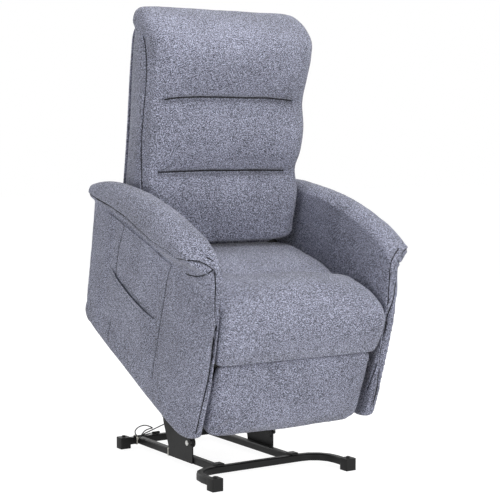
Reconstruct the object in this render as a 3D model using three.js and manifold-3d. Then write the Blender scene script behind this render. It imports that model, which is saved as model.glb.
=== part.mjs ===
// Lift recliner chair, shown raised: a steel floor frame, a four-bar lift linkage with its
// actuator, a sprung seat between two upholstered arms, a swinging footrest and a reclining back.
// Millimetres, +Z up, the chair faces -Y. The floor frame is drawn in frame coordinates (y = 0 at
// the front feet). The seat unit is drawn level in seat coordinates (y rearward, z up) and tipped.
import * as THREE from 'three';
import * as BufferGeometryUtils from 'three/addons/utils/BufferGeometryUtils.js';
import Module from 'manifold-3d';

const wasm = await Module();
wasm.setup();

// ---------------------------------------------------------------- driving dimensions
const GAP = 0.3; // clearance between pieces that seat on each other
const PIN_PLAY = 0.4; // radial play of a bored eye on its pin

// floor frame
const TUBE = 22; // square tube, outside
const TUBE_WALL = 1.5;
const TUBE_CORNER = 3;
const FLOOR_GAP = 10; // floor to the underside of the tubes
const FRONT_TUBE_Y = 155; // centre line of the front cross tube
const FRONT_BEND = 76; // centre-line radius of its forward bends
const FRONT_FOOT_X = 232;
const REAR_TUBE_Y = 645;
const REAR_FOOT_X = 188;
const RAIL_X = 131; // centre line of the side rails
const FOOT_SIZE = 35;
const REAR_FOOT_DEPTH = 34;
const FOOT_HEIGHT = 36;
const FOOT_SOCKET = 20; // how far a tube end goes into its foot
const KNOB_RADIUS = 5;
const KNOB_HEIGHT = 5;

// lift linkage: front links A-C and rear links B-D between the frame and the seat unit
const PIVOT_A = [300, 75]; // frame y, z
const PIVOT_B = [445, 140];
const PIVOT_C = [540, 12.9]; // seat y, z
const PIVOT_D = [630, 17.1];
const PIN_RADIUS = 7;
const RIVET_RADIUS = 11;
const RIVET_HEIGHT = 3;
const BRACKET_THICKNESS = 4;
const BRACKET_FRONT_Y = 287;
const BRACKET_REAR_Y = 425;
const BRACKET_EAR = 19;
const NUB_RADIUS = 4; // small stop on the front edge of each bracket
const LINK_THICKNESS = 6;
const LINK_PLAY = 1; // side play between neighbouring links
const FRONT_LINK_WIDTH = 30;
const REAR_LINK_WIDTH = 25;
const LINK_TUBE_RADIUS = 12.5; // cross tube between the front links
const LINK_TUBE_ALONG = 50; // from pivot A towards C

// raised pose of the seat unit
const TILT = THREE.MathUtils.degToRad(25.65);
const SEAT_ORIGIN = [-47, 98.2]; // seat coordinates' origin in frame y, z

// seat unit structure
const PLATE_THICKNESS = 4;
const PLATE_FRONT_Y = 165;
const PLATE_REAR_Y = PIVOT_D[0] + 42;
const PLATE_LOW_Z = 62;
const PLATE_TOP_Z = 118;
const FLANGE_WIDTH = 20;
const CROSS_TUBE_RADIUS = 12.5;
const CROSS_TUBE_Y = [445, PIVOT_D[0] + 10];
const SIDE_PLATE_X = 270; // inner face of the recline side plates
const ARM_IN_X = 283;
const SEAT_HALF_WIDTH = ARM_IN_X - GAP;
const SEAT_RAIL_THICKNESS = 25;
const SEAT_RAIL_WIDTH = 36;
const SEAT_RAIL_LOW_Z = 252;
const SEAT_FRAME_FRONT_Y = 130;
const SEAT_FRAME_REAR_Y = 632;

// sinuous seat springs
const SPRING_COUNT = 3;
const SPRING_PITCH = 130;
const SPRING_WIRE = 2;
const SPRING_HALF_WIDTH = 24;
const SPRING_WAVES = 9;
const SPRING_ARCH = 5;

// footrest linkage, closed
const PIVOT_E = [285, 235];
const PIVOT_K = [158, 185];
const FOOTREST_LINK_LENGTH = 200;
const FOOTREST_LINK_WIDTH = 22;
const FOOTREST_LINK_THICKNESS = 5;
const FOOTREST_PIN = 5;
const DRIVE_ALONG = 85; // drive tube from pivot E along the rear link
const DRIVE_REACH = 35; // rod pivot behind the drive tube
const BOARD_FRONT_Y = 128;
const BOARD_THICKNESS = 12;
const BOARD_LOW_Z = 34;
const BOARD_TOP_Z = 228;
const BOARD_HALF_WIDTH = 243;

// actuators
const ACTUATOR_X = 30; // offset of each actuator from the centre plane
const MOTOR_SPACING = 52; // motor beside its tube
const LIFT_TAIL = [605, 75]; // frame y, z
const LIFT_HEAD = [205, 72]; // seat y, z
const RECLINE_TAIL = [612, 200]; // seat y, z
const OUTER_TUBE_RADIUS = 17;
const OUTER_TUBE_WALL = 2.5;
const ROD_RADIUS = 9;
const ROD_OVERLAP = 46; // rod left inside its tube when fully out
const LIFT_STROKE = 190;
const RECLINE_STROKE = 118;
const HEAD_RADIUS = 13;
const HEAD_WIDTH = 22;
const MOTOR_RADIUS = 21;
const MOTOR_LENGTH = 105;
const GEARBOX_LENGTH = 68;
const GEARBOX_HEIGHT = 54;
const LUG_THICKNESS = 4;
const TAIL_PIN_REACH = HEAD_WIDTH / 2 + LINK_PLAY + LUG_THICKNESS + 2;

// back
const PIVOT_Q = [700, 270];
const BACK_HALF_WIDTH = 266; // where the cushion's side meets the shell
const BACK_BULGE = [6, 24]; // the cushion is wider than that further forward, low down and at the head
const BACK_LOW_Z = 222;
const BACK_TOP_Z = 980;
const BACK_TUBE_RADIUS = 10;
const BACK_TUBE_PLAY = 10; // beside the tube, in the cushion's hollow
const BACK_FRAME_INSET = 40;
const BACK_FRAME_TOP_Z = 866;
const BACK_BAR_Z = 296;
const BACK_HOLLOW = 30.2; // room for the tube between cushion and shell
const BACK_TUBE_FORWARD = 1.6; // the tube bears on the cushion
const EAR_THICKNESS = 6;
const CUSHION_LOW_Z = 286;
const BACK_NOTCH_Y = 850; // room for the foot bar, out past the cushion's rear face
const CUSHION_WALL = 34; // the cushion's sides reach back round the hollow
const BACK_FRAME_HALF_WIDTH = BACK_HALF_WIDTH - CUSHION_WALL - BACK_TUBE_PLAY - BACK_TUBE_RADIUS;
const SHELL_THICKNESS = 8;
const SHELL_TOP_Z = 918;
const CHANNEL_Z = [550, 767]; // sewn channels of the back
const CHANNEL_DEPTH = 30;
const CHANNEL_WIDTH = 26;

// seat cushion and footrest pad
const SEAT_LOW_Z = SEAT_RAIL_LOW_Z + SEAT_RAIL_THICKNESS;
const SEAT_LIP_Z = 243;
const SEAT_FRONT_Y = 93;
const SEAT_REAR_Y = 648;
const SEAT_CROWN = 22;
const PAD_HALF_WIDTH = 262;
const PAD_LOW_Z = 21;
const PAD_TOP_Z = 239;
const PAD_CROWN = 14;

// arms
const ARM_LOW_Z = 0;
const ARM_FRONT_Y = 70;
const ARM_REAR_Y = 770;
const ARM_OUT_X = 312; // at the front edge
const ARM_BULGE = 20; // further out in the middle of the panel
const REST_CREST_X = ARM_OUT_X + 18;
const REST_OUT_X = ARM_OUT_X + 76; // at the flared front end
const REST_REAR_OUT_X = ARM_OUT_X + 40;
const REST_FRONT_Y = 144;
const REST_REAR_Y = ARM_REAR_Y + 102;

// side pocket
const POCKET_FRONT_Y = 372;
const POCKET_REAR_Y = 652;
const POCKET_LOW_Z = 50;
const POCKET_TOP_Z = 238;
const POCKET_SHEET = 2.5;
const POCKET_DEPTH = 10; // how far its mouth stands off the arm
const POCKET_FLARE = 22; // narrower at the foot
const POCKET_SAG = 12; // slack of the mouth

// rear panel between the arms
const REAR_PANEL_LOW_Z = 38;
const REAR_PANEL_TOP_Z = 190;
const REAR_PANEL_THICKNESS = 12;
const REAR_PANEL_INSET = 32; // forward of the arms' rear edges

// lead and ties
const LEAD_RADIUS = 1.8;
const PLUG_RADIUS = 4.5;
const PLUG_LENGTH = 26;
const TIE_THICKNESS = 1.2;
const TIE_WIDTH = 4;
const TIE_LOCK = 6;

// ---------------------------------------------------------------- materials
const material = (color, roughness, metalness) =>
  new THREE.MeshStandardMaterial({ color, roughness, metalness });
const fabric = material(0x767c93, 0.95, 0);
const blackSteel = material(0x1a1a1c, 0.45, 0.6);
const zinc = material(0xb4b5b2, 0.35, 0.9);
const blackPlastic = material(0x161617, 0.55, 0);
const motorCase = material(0x2a2b2e, 0.5, 0.1);
const aluminium = material(0xa9abad, 0.35, 0.9);
const chrome = material(0xcfd2d4, 0.15, 1);
const timber = material(0xb98f5e, 0.7, 0);
const paleTie = material(0xd8d6cc, 0.5, 0);

// ---------------------------------------------------------------- solid helpers
function weld(geometry) {
  const bare = geometry.clone();
  bare.deleteAttribute('uv');
  bare.deleteAttribute('normal');
  return BufferGeometryUtils.mergeVertices(bare, 1e-3);
}

function toSolid(geometry) {
  const welded = weld(geometry);
  return new wasm.Manifold(new wasm.Mesh({
    numProp: 3,
    vertProperties: new Float32Array(welded.attributes.position.array),
    triVerts: new Uint32Array(welded.index.array),
  }));
}

function fromSolid(solid) {
  const mesh = solid.getMesh();
  const geometry = new THREE.BufferGeometry();
  geometry.setAttribute('position', new THREE.BufferAttribute(mesh.vertProperties, 3));
  geometry.setIndex(new THREE.BufferAttribute(mesh.triVerts, 1));
  return geometry;
}

function join(...geometries) {
  return fromSolid(geometries.map(toSolid).reduce((whole, next) => whole.add(next)));
}

function cut(geometry, ...tools) {
  return fromSolid(tools.map(toSolid).reduce((whole, tool) => whole.subtract(tool), toSolid(geometry)));
}

// a box between two corners
function block(x0, x1, y0, y1, z0, z1) {
  const box = new THREE.BoxGeometry(Math.abs(x1 - x0), y1 - y0, z1 - z0);
  return box.translate((x0 + x1) / 2, (y0 + y1) / 2, (z0 + z1) / 2);
}

// a round bar along X at the point [y, z]
function barX(radius, x0, x1, [y, z], sides = 14) {
  const bar = new THREE.CylinderGeometry(radius, radius, Math.abs(x1 - x0), sides);
  return bar.rotateZ(Math.PI / 2).translate((x0 + x1) / 2, y, z);
}

// a flat plate whose outline is drawn in y, z, between x0 and x0 + thickness on one side
function plateX(shape, x0, thickness, side = 1, curveSegments = 4) {
  const plate = new THREE.ExtrudeGeometry(shape, { depth: thickness, bevelEnabled: false, curveSegments });
  const axes = new THREE.Matrix4().makeBasis(
    new THREE.Vector3(0, 1, 0), new THREE.Vector3(0, 0, 1), new THREE.Vector3(1, 0, 0));
  plate.applyMatrix4(axes);
  return plate.translate(side > 0 ? x0 : -x0 - thickness, 0, 0);
}

function circleHole(shape, [y, z], radius) {
  const hole = new THREE.Path();
  hole.absarc(y, z, radius, 0, 2 * Math.PI, true);
  shape.holes.push(hole);
}

// a bar outline with a round end at each pivot
function linkShape(p, q, width, bore) {
  const angle = Math.atan2(q[1] - p[1], q[0] - p[0]);
  const radius = width / 2;
  const shape = new THREE.Shape();
  shape.absarc(p[0], p[1], radius, angle + Math.PI / 2, angle + 1.5 * Math.PI, false);
  shape.absarc(q[0], q[1], radius, angle - Math.PI / 2, angle + Math.PI / 2, false);
  shape.closePath();
  for (const eye of [p, q]) circleHole(shape, eye, bore);
  return shape;
}

function polygon(points) {
  return new THREE.Shape(points.map(([a, b]) => new THREE.Vector2(a, b)));
}

// a polygon whose corners are rounded by the radius given with each point
function rounded(points) {
  const shape = new THREE.Shape();
  points.forEach(([a, b, radius = 0], i) => {
    const corner = new THREE.Vector2(a, b);
    const before = new THREE.Vector2(...points.at(i - 1));
    const after = new THREE.Vector2(...points[(i + 1) % points.length]);
    const entry = before.clone().sub(corner).setLength(radius).add(corner);
    const exit = after.clone().sub(corner).setLength(radius).add(corner);
    if (i === 0) shape.moveTo(entry.x, entry.y);
    else shape.lineTo(entry.x, entry.y);
    if (radius > 0) shape.quadraticCurveTo(corner.x, corner.y, exit.x, exit.y);
  });
  shape.closePath();
  return shape;
}

// a square with its corners cut off
function squareSection(size, corner) {
  const h = size / 2;
  const k = h - corner;
  return polygon([[-k, -h], [k, -h], [h, -k], [h, k], [k, h], [-k, h], [-h, k], [-h, -k]]);
}

function boreSection() {
  return squareSection(TUBE - 2 * TUBE_WALL, TUBE_CORNER - TUBE_WALL / 2);
}

function extrudeAlong(section, curve, steps) {
  return new THREE.ExtrudeGeometry(section, { extrudePath: curve, steps });
}

function squareTube(curve, steps) {
  const section = squareSection(TUBE, TUBE_CORNER);
  section.holes.push(new THREE.Path(boreSection().getPoints().reverse()));
  return extrudeAlong(section, curve, steps);
}

function roundTube(curve, radius, steps, sides) {
  const corner = (i) => {
    const angle = (2 * Math.PI * i) / sides;
    return [Math.cos(angle) * radius, Math.sin(angle) * radius];
  };
  return extrudeAlong(polygon(Array.from({ length: sides }, (_, i) => corner(i))), curve, steps);
}

// hollow round tube along X, with anything welded to it left out of the bore
function pipeX(radius, wall, x0, x1, at, ...welded) {
  return cut(join(barX(radius, x0, x1, at), ...welded), barX(radius - wall, x0 - 1, x1 + 1, at));
}

function faceOut(geometry) {
  const p = geometry.attributes.position;
  const index = geometry.index.array;
  const [a, b, c] = [new THREE.Vector3(), new THREE.Vector3(), new THREE.Vector3()];
  let volume = 0;
  for (let i = 0; i < index.length; i += 3) {
    a.fromBufferAttribute(p, index[i]);
    b.fromBufferAttribute(p, index[i + 1]);
    c.fromBufferAttribute(p, index[i + 2]);
    volume += a.dot(b.cross(c));
  }
  if (volume < 0) {
    for (let i = 0; i < index.length; i += 3) {
      [index[i + 1], index[i + 2]] = [index[i + 2], index[i + 1]];
    }
  }
  return geometry;
}

// A padded form: a box grid rounded into a superellipsoid (power sets how boxy), then shaped by
// place(a, b, c), whose arguments run from -1 to 1 across, front to rear and bottom to top.
function padded(nx, ny, nz, power, place) {
  const grid = weld(new THREE.BoxGeometry(2, 2, 2, nx, ny, nz));
  const p = grid.attributes.position;
  for (let i = 0; i < p.count; i++) {
    const abc = [p.getX(i), p.getY(i), p.getZ(i)];
    const length = abc.reduce((sum, v, k) => sum + Math.abs(v) ** power[k], 0);
    const [a, b, c] = abc.map((v, k) => v / length ** (1 / power[k]));
    p.setXYZ(i, ...place(a, b, c));
  }
  return faceOut(grid);
}

const lerp = THREE.MathUtils.lerp;
const smooth = THREE.MathUtils.smoothstep;

// a line through a short list of [position, value] points, half eased at each
function profile(points) {
  return (t) => {
    if (t <= points[0][0]) return points[0][1];
    for (let i = 1; i < points.length; i++) {
      const [t0, v0] = points[i - 1];
      const [t1, v1] = points[i];
      if (t <= t1) return lerp(v0, v1, smooth(t, t0, t1) * 0.5 + ((t - t0) / (t1 - t0)) * 0.5);
    }
    return points.at(-1)[1];
  };
}

// ---------------------------------------------------------------- scene graph
const chair = new THREE.Group();
const frame = new THREE.Group();
const seat = new THREE.Group();
seat.position.set(0, SEAT_ORIGIN[0], SEAT_ORIGIN[1]);
seat.rotation.x = TILT;
chair.add(frame, seat);

function add(group, name, geometry, look) {
  const mesh = new THREE.Mesh(geometry, look);
  mesh.name = name;
  group.add(mesh);
  return mesh;
}

// a seat point [y, z] in frame coordinates, and the reverse
function seatToFrame([y, z]) {
  return [SEAT_ORIGIN[0] + y * Math.cos(TILT) - z * Math.sin(TILT),
    SEAT_ORIGIN[1] + y * Math.sin(TILT) + z * Math.cos(TILT)];
}

const SIDES = [['right', -1], ['left', 1]]; // the sitter's right is -X
const TUBE_LOW = FLOOR_GAP;
const TUBE_TOP = FLOOR_GAP + TUBE;
const TUBE_MID = FLOOR_GAP + TUBE / 2;
const BRACKET_X = RAIL_X + TUBE / 2 + GAP; // inner face of the bracket plates
const BRACKET_OUT = BRACKET_X + BRACKET_THICKNESS;
const REAR_LINK_X = BRACKET_OUT + LINK_PLAY; // inner face of the rear links, outside the brackets
const REAR_LINK_OUT = REAR_LINK_X + LINK_THICKNESS;
const FRONT_LINK_X = BRACKET_X - LINK_PLAY - LINK_THICKNESS; // inside the brackets
const LIFT_PLATE_X = FRONT_LINK_X - LINK_PLAY - PLATE_THICKNESS; // inside the front links

// ---------------------------------------------------------------- floor frame
function frontTube() {
  const v = (x, y) => new THREE.Vector3(x, y, TUBE_MID);
  const tip = FOOT_SIZE - FOOT_SOCKET + GAP;
  const bendStart = FRONT_TUBE_Y - FRONT_BEND;
  const straight = FRONT_FOOT_X - FRONT_BEND;
  const points = [v(-FRONT_FOOT_X, tip), v(-FRONT_FOOT_X, bendStart / 2)];
  const arc = (side, from, to) => {
    for (let i = 0; i <= 8; i++) {
      const angle = lerp(from, to, i / 8);
      points.push(v(side * straight + side * FRONT_BEND * Math.sin(angle),
        bendStart + FRONT_BEND * Math.cos(angle)));
    }
  };
  arc(-1, Math.PI / 2, 0);
  for (const x of [-0.93, -0.3, 0.3, 0.93]) points.push(v(x * straight, FRONT_TUBE_Y));
  arc(1, 0, Math.PI / 2);
  points.push(v(FRONT_FOOT_X, bendStart / 2), v(FRONT_FOOT_X, tip));
  return squareTube(new THREE.CatmullRomCurve3(points, false, 'centripetal'), 22);
}

function straightTube(from, to) {
  return squareTube(new THREE.LineCurve3(new THREE.Vector3(...from), new THREE.Vector3(...to)), 1);
}

function foot(x, y, depth, socketAxis) {
  const half = FOOT_SIZE / 2;
  const outline = rounded([[-half, -depth / 2, 3], [half, -depth / 2, 3],
    [half, depth / 2, 3], [-half, depth / 2, 3]]);
  const body = new THREE.ExtrudeGeometry(outline,
    { depth: FOOT_HEIGHT, bevelEnabled: false, curveSegments: 3 }).translate(x, y, 0);
  const knob = new THREE.CylinderGeometry(KNOB_RADIUS, KNOB_RADIUS * 1.2, KNOB_HEIGHT + 1, 12)
    .rotateX(Math.PI / 2).translate(x, y, FOOT_HEIGHT + KNOB_HEIGHT / 2 - 0.5);
  const reach = TUBE / 2 + GAP;
  const low = TUBE_LOW - GAP;
  const high = TUBE_TOP + GAP;
  const socket = socketAxis === 'y'
    ? block(x - reach, x + reach, y + depth / 2 - FOOT_SOCKET, y + depth, low, high)
    : block(x + (x < 0 ? -1 : 1) * (half - FOOT_SOCKET / 4), x - (x < 0 ? -1 : 1) * FOOT_SIZE,
      y - reach, y + reach, low, high);
  return cut(join(body, knob), socket);
}

// bracket plate on a rail: front edge upright, a shoulder over pivot A and an ear at pivot B
function baseBracket(side) {
  const low = TUBE_LOW + 2;
  const outline = rounded([
    [BRACKET_FRONT_Y, low, 3],
    [BRACKET_REAR_Y, low, 3],
    [BRACKET_REAR_Y + 6, TUBE_TOP + 12, 10],
    [PIVOT_B[0] + BRACKET_EAR, PIVOT_B[1] - BRACKET_EAR * 1.2, 10],
    [PIVOT_B[0] + BRACKET_EAR, PIVOT_B[1] + BRACKET_EAR, 16],
    [PIVOT_B[0] - BRACKET_EAR * 1.3, PIVOT_B[1] + BRACKET_EAR, 14],
    [PIVOT_A[0] + 40, PIVOT_A[1] + 38, 22],
    [BRACKET_FRONT_Y, PIVOT_A[1] + 32, 16],
  ]);
  const plate = plateX(outline, BRACKET_X, BRACKET_THICKNESS, side);
  const flushIn = FRONT_LINK_X - LINK_PLAY / 2;
  const pinOut = REAR_LINK_OUT + LINK_PLAY / 2;
  const nub = new THREE.CylinderGeometry(NUB_RADIUS, NUB_RADIUS, 12, 10)
    .translate(side * (BRACKET_X + NUB_RADIUS + GAP), BRACKET_FRONT_Y, PIVOT_A[1] + 2);
  return join(plate, nub,
    barX(PIN_RADIUS, side * flushIn, side * BRACKET_OUT, PIVOT_A),
    barX(RIVET_RADIUS, side * (BRACKET_OUT - 1), side * (BRACKET_OUT + RIVET_HEIGHT), PIVOT_A),
    barX(PIN_RADIUS, side * (BRACKET_X + 1), side * (pinOut + 1), PIVOT_B),
    barX(RIVET_RADIUS, side * pinOut, side * (pinOut + RIVET_HEIGHT), PIVOT_B));
}

// strap of a cable tie round a square tube, with its lock; room lifts it over a lead on the tube
function tie(acrossX, room) {
  const inner = TUBE / 2 + GAP;
  const outer = inner + TIE_THICKNESS;
  const loop = (reach, radius) => rounded([[-reach, -reach, radius], [reach, -reach, radius],
    [reach, reach, radius], [reach / 2, reach + room, radius], [-reach / 2, reach + room, radius],
    [-reach, reach, radius]]);
  const ring = loop(outer, 2);
  ring.holes.push(new THREE.Path(loop(inner, 1.5).getPoints(2).reverse()));
  const strap = new THREE.ExtrudeGeometry(ring, { depth: TIE_WIDTH, bevelEnabled: false, curveSegments: 2 });
  strap.translate(0, 0, -TIE_WIDTH / 2);
  const lock = new THREE.BoxGeometry(4.5, TIE_LOCK, TIE_LOCK).translate(outer + 1.5, outer - 5, 0);
  const whole = join(strap, lock);
  const axes = acrossX
    ? new THREE.Matrix4().makeBasis(new THREE.Vector3(0, -1, 0), new THREE.Vector3(0, 0, 1),
      new THREE.Vector3(-1, 0, 0))
    : new THREE.Matrix4().makeBasis(new THREE.Vector3(1, 0, 0), new THREE.Vector3(0, 0, 1),
      new THREE.Vector3(0, -1, 0));
  return faceOut(whole.applyMatrix4(axes));
}

// two lugs that hold an actuator end, reaching from [y, z] on a carrier to the pivot
function lugs(x, pivot, root, width, carrierRadius) {
  const shape = linkShape(root, pivot, width, 0.01);
  shape.holes.length = 0;
  const inner = HEAD_WIDTH / 2 + LINK_PLAY;
  return [-1, 1].map((s) => plateX(shape, s > 0 ? x + inner : x - inner - LUG_THICKNESS, LUG_THICKNESS));
}

function buildFrame() {
  add(frame, 'front_tube', frontTube(), blackSteel);
  const tailFoot = [REAR_TUBE_Y, TUBE_TOP - 4];
  const tailPin = barX(PIN_RADIUS, ACTUATOR_X - TAIL_PIN_REACH, ACTUATOR_X + TAIL_PIN_REACH, LIFT_TAIL);
  const rearEnd = REAR_FOOT_X + 8;
  const rearLine = (reach) => new THREE.LineCurve3(new THREE.Vector3(-reach, REAR_TUBE_Y, TUBE_MID),
    new THREE.Vector3(reach, REAR_TUBE_Y, TUBE_MID));
  const rearBar = extrudeAlong(squareSection(TUBE, TUBE_CORNER), rearLine(rearEnd), 1);
  const rearBore = extrudeAlong(boreSection(), rearLine(rearEnd + 1), 1);
  const rearWelded = join(rearBar, ...lugs(ACTUATOR_X, LIFT_TAIL, tailFoot, 22), tailPin);
  add(frame, 'rear_tube', cut(rearWelded, rearBore), blackSteel);
  for (const [name, side] of SIDES) {
    const from = FRONT_TUBE_Y + TUBE / 2 + GAP;
    const to = REAR_TUBE_Y - TUBE / 2 - GAP;
    const rail = straightTube([side * RAIL_X, from, TUBE_MID], [side * RAIL_X, to, TUBE_MID]);
    const cap = plateX(rounded([[from - TUBE + 2, TUBE_TOP + GAP, 1], [from + 14, TUBE_TOP + GAP],
      [from + 12, TUBE_TOP + 6, 3], [from - TUBE + 4, TUBE_TOP + 6, 3]]), RAIL_X - 12, 24, side, 3);
    const seatOnRail = block(side * (RAIL_X - 11), side * (RAIL_X + 11), from + 1, from + 11,
      TUBE_TOP - 1, TUBE_TOP + 3);
    add(frame, `${name}_rail`, join(rail, cap, seatOnRail), blackSteel);
    add(frame, `${name}_base_bracket`, baseBracket(side), blackSteel);
    add(frame, `${name}_front_foot`, foot(side * FRONT_FOOT_X, FOOT_SIZE / 2, FOOT_SIZE, 'y'), blackPlastic);
    add(frame, `${name}_rear_foot`, foot(side * REAR_FOOT_X, REAR_TUBE_Y, REAR_FOOT_DEPTH, 'x'),
      blackPlastic);
  }
}

// ---------------------------------------------------------------- lead and cable ties
const LEAD_REST_Z = TUBE_TOP + GAP + LEAD_RADIUS; // the lead lying on the rear tube
const PLUG_Z = TUBE_TOP + GAP + PLUG_RADIUS;
const LEAD_ROUTE = [
  [-50.4, 590, 80], [-75, 596, 70], [-105, 612, 54], [-128, 621, 43], [-146, 611, 38], [-157, 589, 43],
  [-167, 562, 57], [-174, 528, 75], [-178, 492, 88], [-182, 468, 95], [-188, 472, 99], [-188, 500, 98],
  [-186, 530, 91], [-184, 560, 79], [-181, 581, 65], [-174, 592, 54], [-164, 604, 46], [-156, 622, 40],
  [-154, 637, 36], [-150, REAR_TUBE_Y, LEAD_REST_Z], [-138, REAR_TUBE_Y, LEAD_REST_Z],
  [-110, REAR_TUBE_Y, LEAD_REST_Z], [-92, REAR_TUBE_Y, PLUG_Z], [-84, REAR_TUBE_Y, PLUG_Z],
];

// the lift motor's lead: it loops out beside the linkage, then lies along the rear tube
function buildLead() {
  const route = new THREE.CatmullRomCurve3(LEAD_ROUTE.map((p) => new THREE.Vector3(...p)), false,
    'centripetal');
  add(frame, 'motor_lead', weld(roundTube(route, LEAD_RADIUS, 52, 8)), blackPlastic);
  const plugStart = LEAD_ROUTE.at(-1)[0] + GAP;
  const plug = barX(PLUG_RADIUS, plugStart, plugStart + PLUG_LENGTH, [REAR_TUBE_Y, PLUG_Z], 10);
  add(frame, 'lead_plug', plug, blackPlastic);
  const tieX = -RAIL_X - TUBE / 2 - TIE_LOCK / 2 - GAP;
  add(frame, 'rear_tube_tie', tie(true, 2 * LEAD_RADIUS + GAP).translate(tieX, REAR_TUBE_Y, TUBE_MID),
    paleTie);
  add(frame, 'rail_tie', tie(false, 0).translate(-RAIL_X, BRACKET_REAR_Y + 14, TUBE_MID), paleTie);
}

// ---------------------------------------------------------------- lift linkage
function buildLinks() {
  const c = seatToFrame(PIVOT_C);
  const d = seatToFrame(PIVOT_D);
  const bore = PIN_RADIUS + PIN_PLAY;
  const along = new THREE.Vector2(c[0] - PIVOT_A[0], c[1] - PIVOT_A[1]).setLength(LINK_TUBE_ALONG);
  for (const [name, side] of SIDES) {
    const frontShape = linkShape(PIVOT_A, c, FRONT_LINK_WIDTH, bore);
    add(frame, `${name}_front_lift_link`, plateX(frontShape, FRONT_LINK_X, LINK_THICKNESS, side, 6),
      blackSteel);
    const rearShape = linkShape(d, PIVOT_B, REAR_LINK_WIDTH, bore);
    rearShape.holes.shift();
    const cap = barX(RIVET_RADIUS, side * (REAR_LINK_OUT - 1), side * (REAR_LINK_OUT + RIVET_HEIGHT), d);
    add(frame, `${name}_rear_lift_link`,
      join(plateX(rearShape, REAR_LINK_X, LINK_THICKNESS, side, 6), cap), zinc);
  }
  const half = FRONT_LINK_X - GAP;
  add(frame, 'lift_link_tube', pipeX(LINK_TUBE_RADIUS, 2, -half, half,
    [PIVOT_A[0] + along.x, PIVOT_A[1] + along.y]), blackSteel);
}

// ---------------------------------------------------------------- actuators
// Built along +Y from its tail pivot, then turned so that it points from tail to head. The rod is
// drawn out by `drawn` and can still come out by `spare`.
function actuator(group, prefix, x, tail, head, drawn, spare, motorSide) {
  const length = Math.hypot(head[0] - tail[0], head[1] - tail[1]);
  const tubeStart = 26;
  const tubeEnd = length - drawn - HEAD_RADIUS - 14;
  const turn = new THREE.Matrix4().makeRotationX(Math.atan2(head[1] - tail[1], head[0] - tail[0]));
  turn.setPosition(x, tail[0], tail[1]);
  const alongY = (radius, y0, y1, dx = 0, sides = 16) =>
    new THREE.CylinderGeometry(radius, radius, y1 - y0, sides).translate(dx, (y0 + y1) / 2, 0);
  const motorX = motorSide * MOTOR_SPACING;
  const tubeBore = alongY(OUTER_TUBE_RADIUS + GAP, tubeStart, tubeEnd + 60);
  const half = GEARBOX_HEIGHT / 2;
  const gearLeft = -OUTER_TUBE_RADIUS - 8;
  const gearRight = MOTOR_SPACING + MOTOR_RADIUS + 4;
  const gearOutline = rounded([[gearLeft, -half, 10], [gearRight, -half, 12],
    [gearRight, half, 12], [gearLeft, half, 10]]);
  const gearbox = new THREE.ExtrudeGeometry(gearOutline, { depth: GEARBOX_LENGTH - 18, bevelEnabled: true,
    bevelSize: 3, bevelThickness: 3, bevelSegments: 1, curveSegments: 3 });
  gearbox.rotateX(-Math.PI / 2).translate(0, 21, 0);
  if (motorSide < 0) {
    gearbox.scale(-1, 1, 1);
    faceOut(gearbox.index ? gearbox : Object.assign(gearbox, weld(gearbox)));
  }
  const tongue = join(
    barX(HEAD_RADIUS, -HEAD_WIDTH / 2, HEAD_WIDTH / 2, [0, 0]),
    block(-HEAD_WIDTH / 2, HEAD_WIDTH / 2, 0, 24, -HEAD_RADIUS, HEAD_RADIUS));
  const motorSeat = alongY(MOTOR_RADIUS + GAP, GEARBOX_LENGTH - 12, GEARBOX_LENGTH + 20, motorX, 20);
  const eye = barX(PIN_RADIUS + PIN_PLAY, -HEAD_WIDTH, HEAD_WIDTH, [0, 0]);
  const housing = cut(join(weld(gearbox), tongue), tubeBore, motorSeat, eye);
  add(group, `${prefix}_gearbox`, housing.applyMatrix4(turn), motorCase);

  const motorEnd = GEARBOX_LENGTH + MOTOR_LENGTH;
  const can = join(
    alongY(MOTOR_RADIUS, GEARBOX_LENGTH - 12 + GAP, motorEnd, motorX, 20),
    alongY(MOTOR_RADIUS * 0.45, motorEnd - 1, motorEnd + 6, motorX));
  add(group, `${prefix}_motor`, can.applyMatrix4(turn), zinc);

  const outer = cut(alongY(OUTER_TUBE_RADIUS, tubeStart + GAP, tubeEnd),
    alongY(OUTER_TUBE_RADIUS - OUTER_TUBE_WALL, tubeStart - 5, tubeEnd - 8),
    alongY(ROD_RADIUS + GAP, tubeEnd - 10, tubeEnd + 5));
  add(group, `${prefix}_outer_tube`, outer.applyMatrix4(turn), aluminium);

  const rod = join(
    alongY(ROD_RADIUS, tubeEnd - spare - ROD_OVERLAP, length - 6),
    barX(HEAD_RADIUS, -HEAD_WIDTH / 2, HEAD_WIDTH / 2, [length, 0]),
    alongY(HEAD_RADIUS - 2, length - HEAD_RADIUS - 9, length - 6));
  add(group, `${prefix}_rod`, rod.applyMatrix4(turn), chrome);
}

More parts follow.
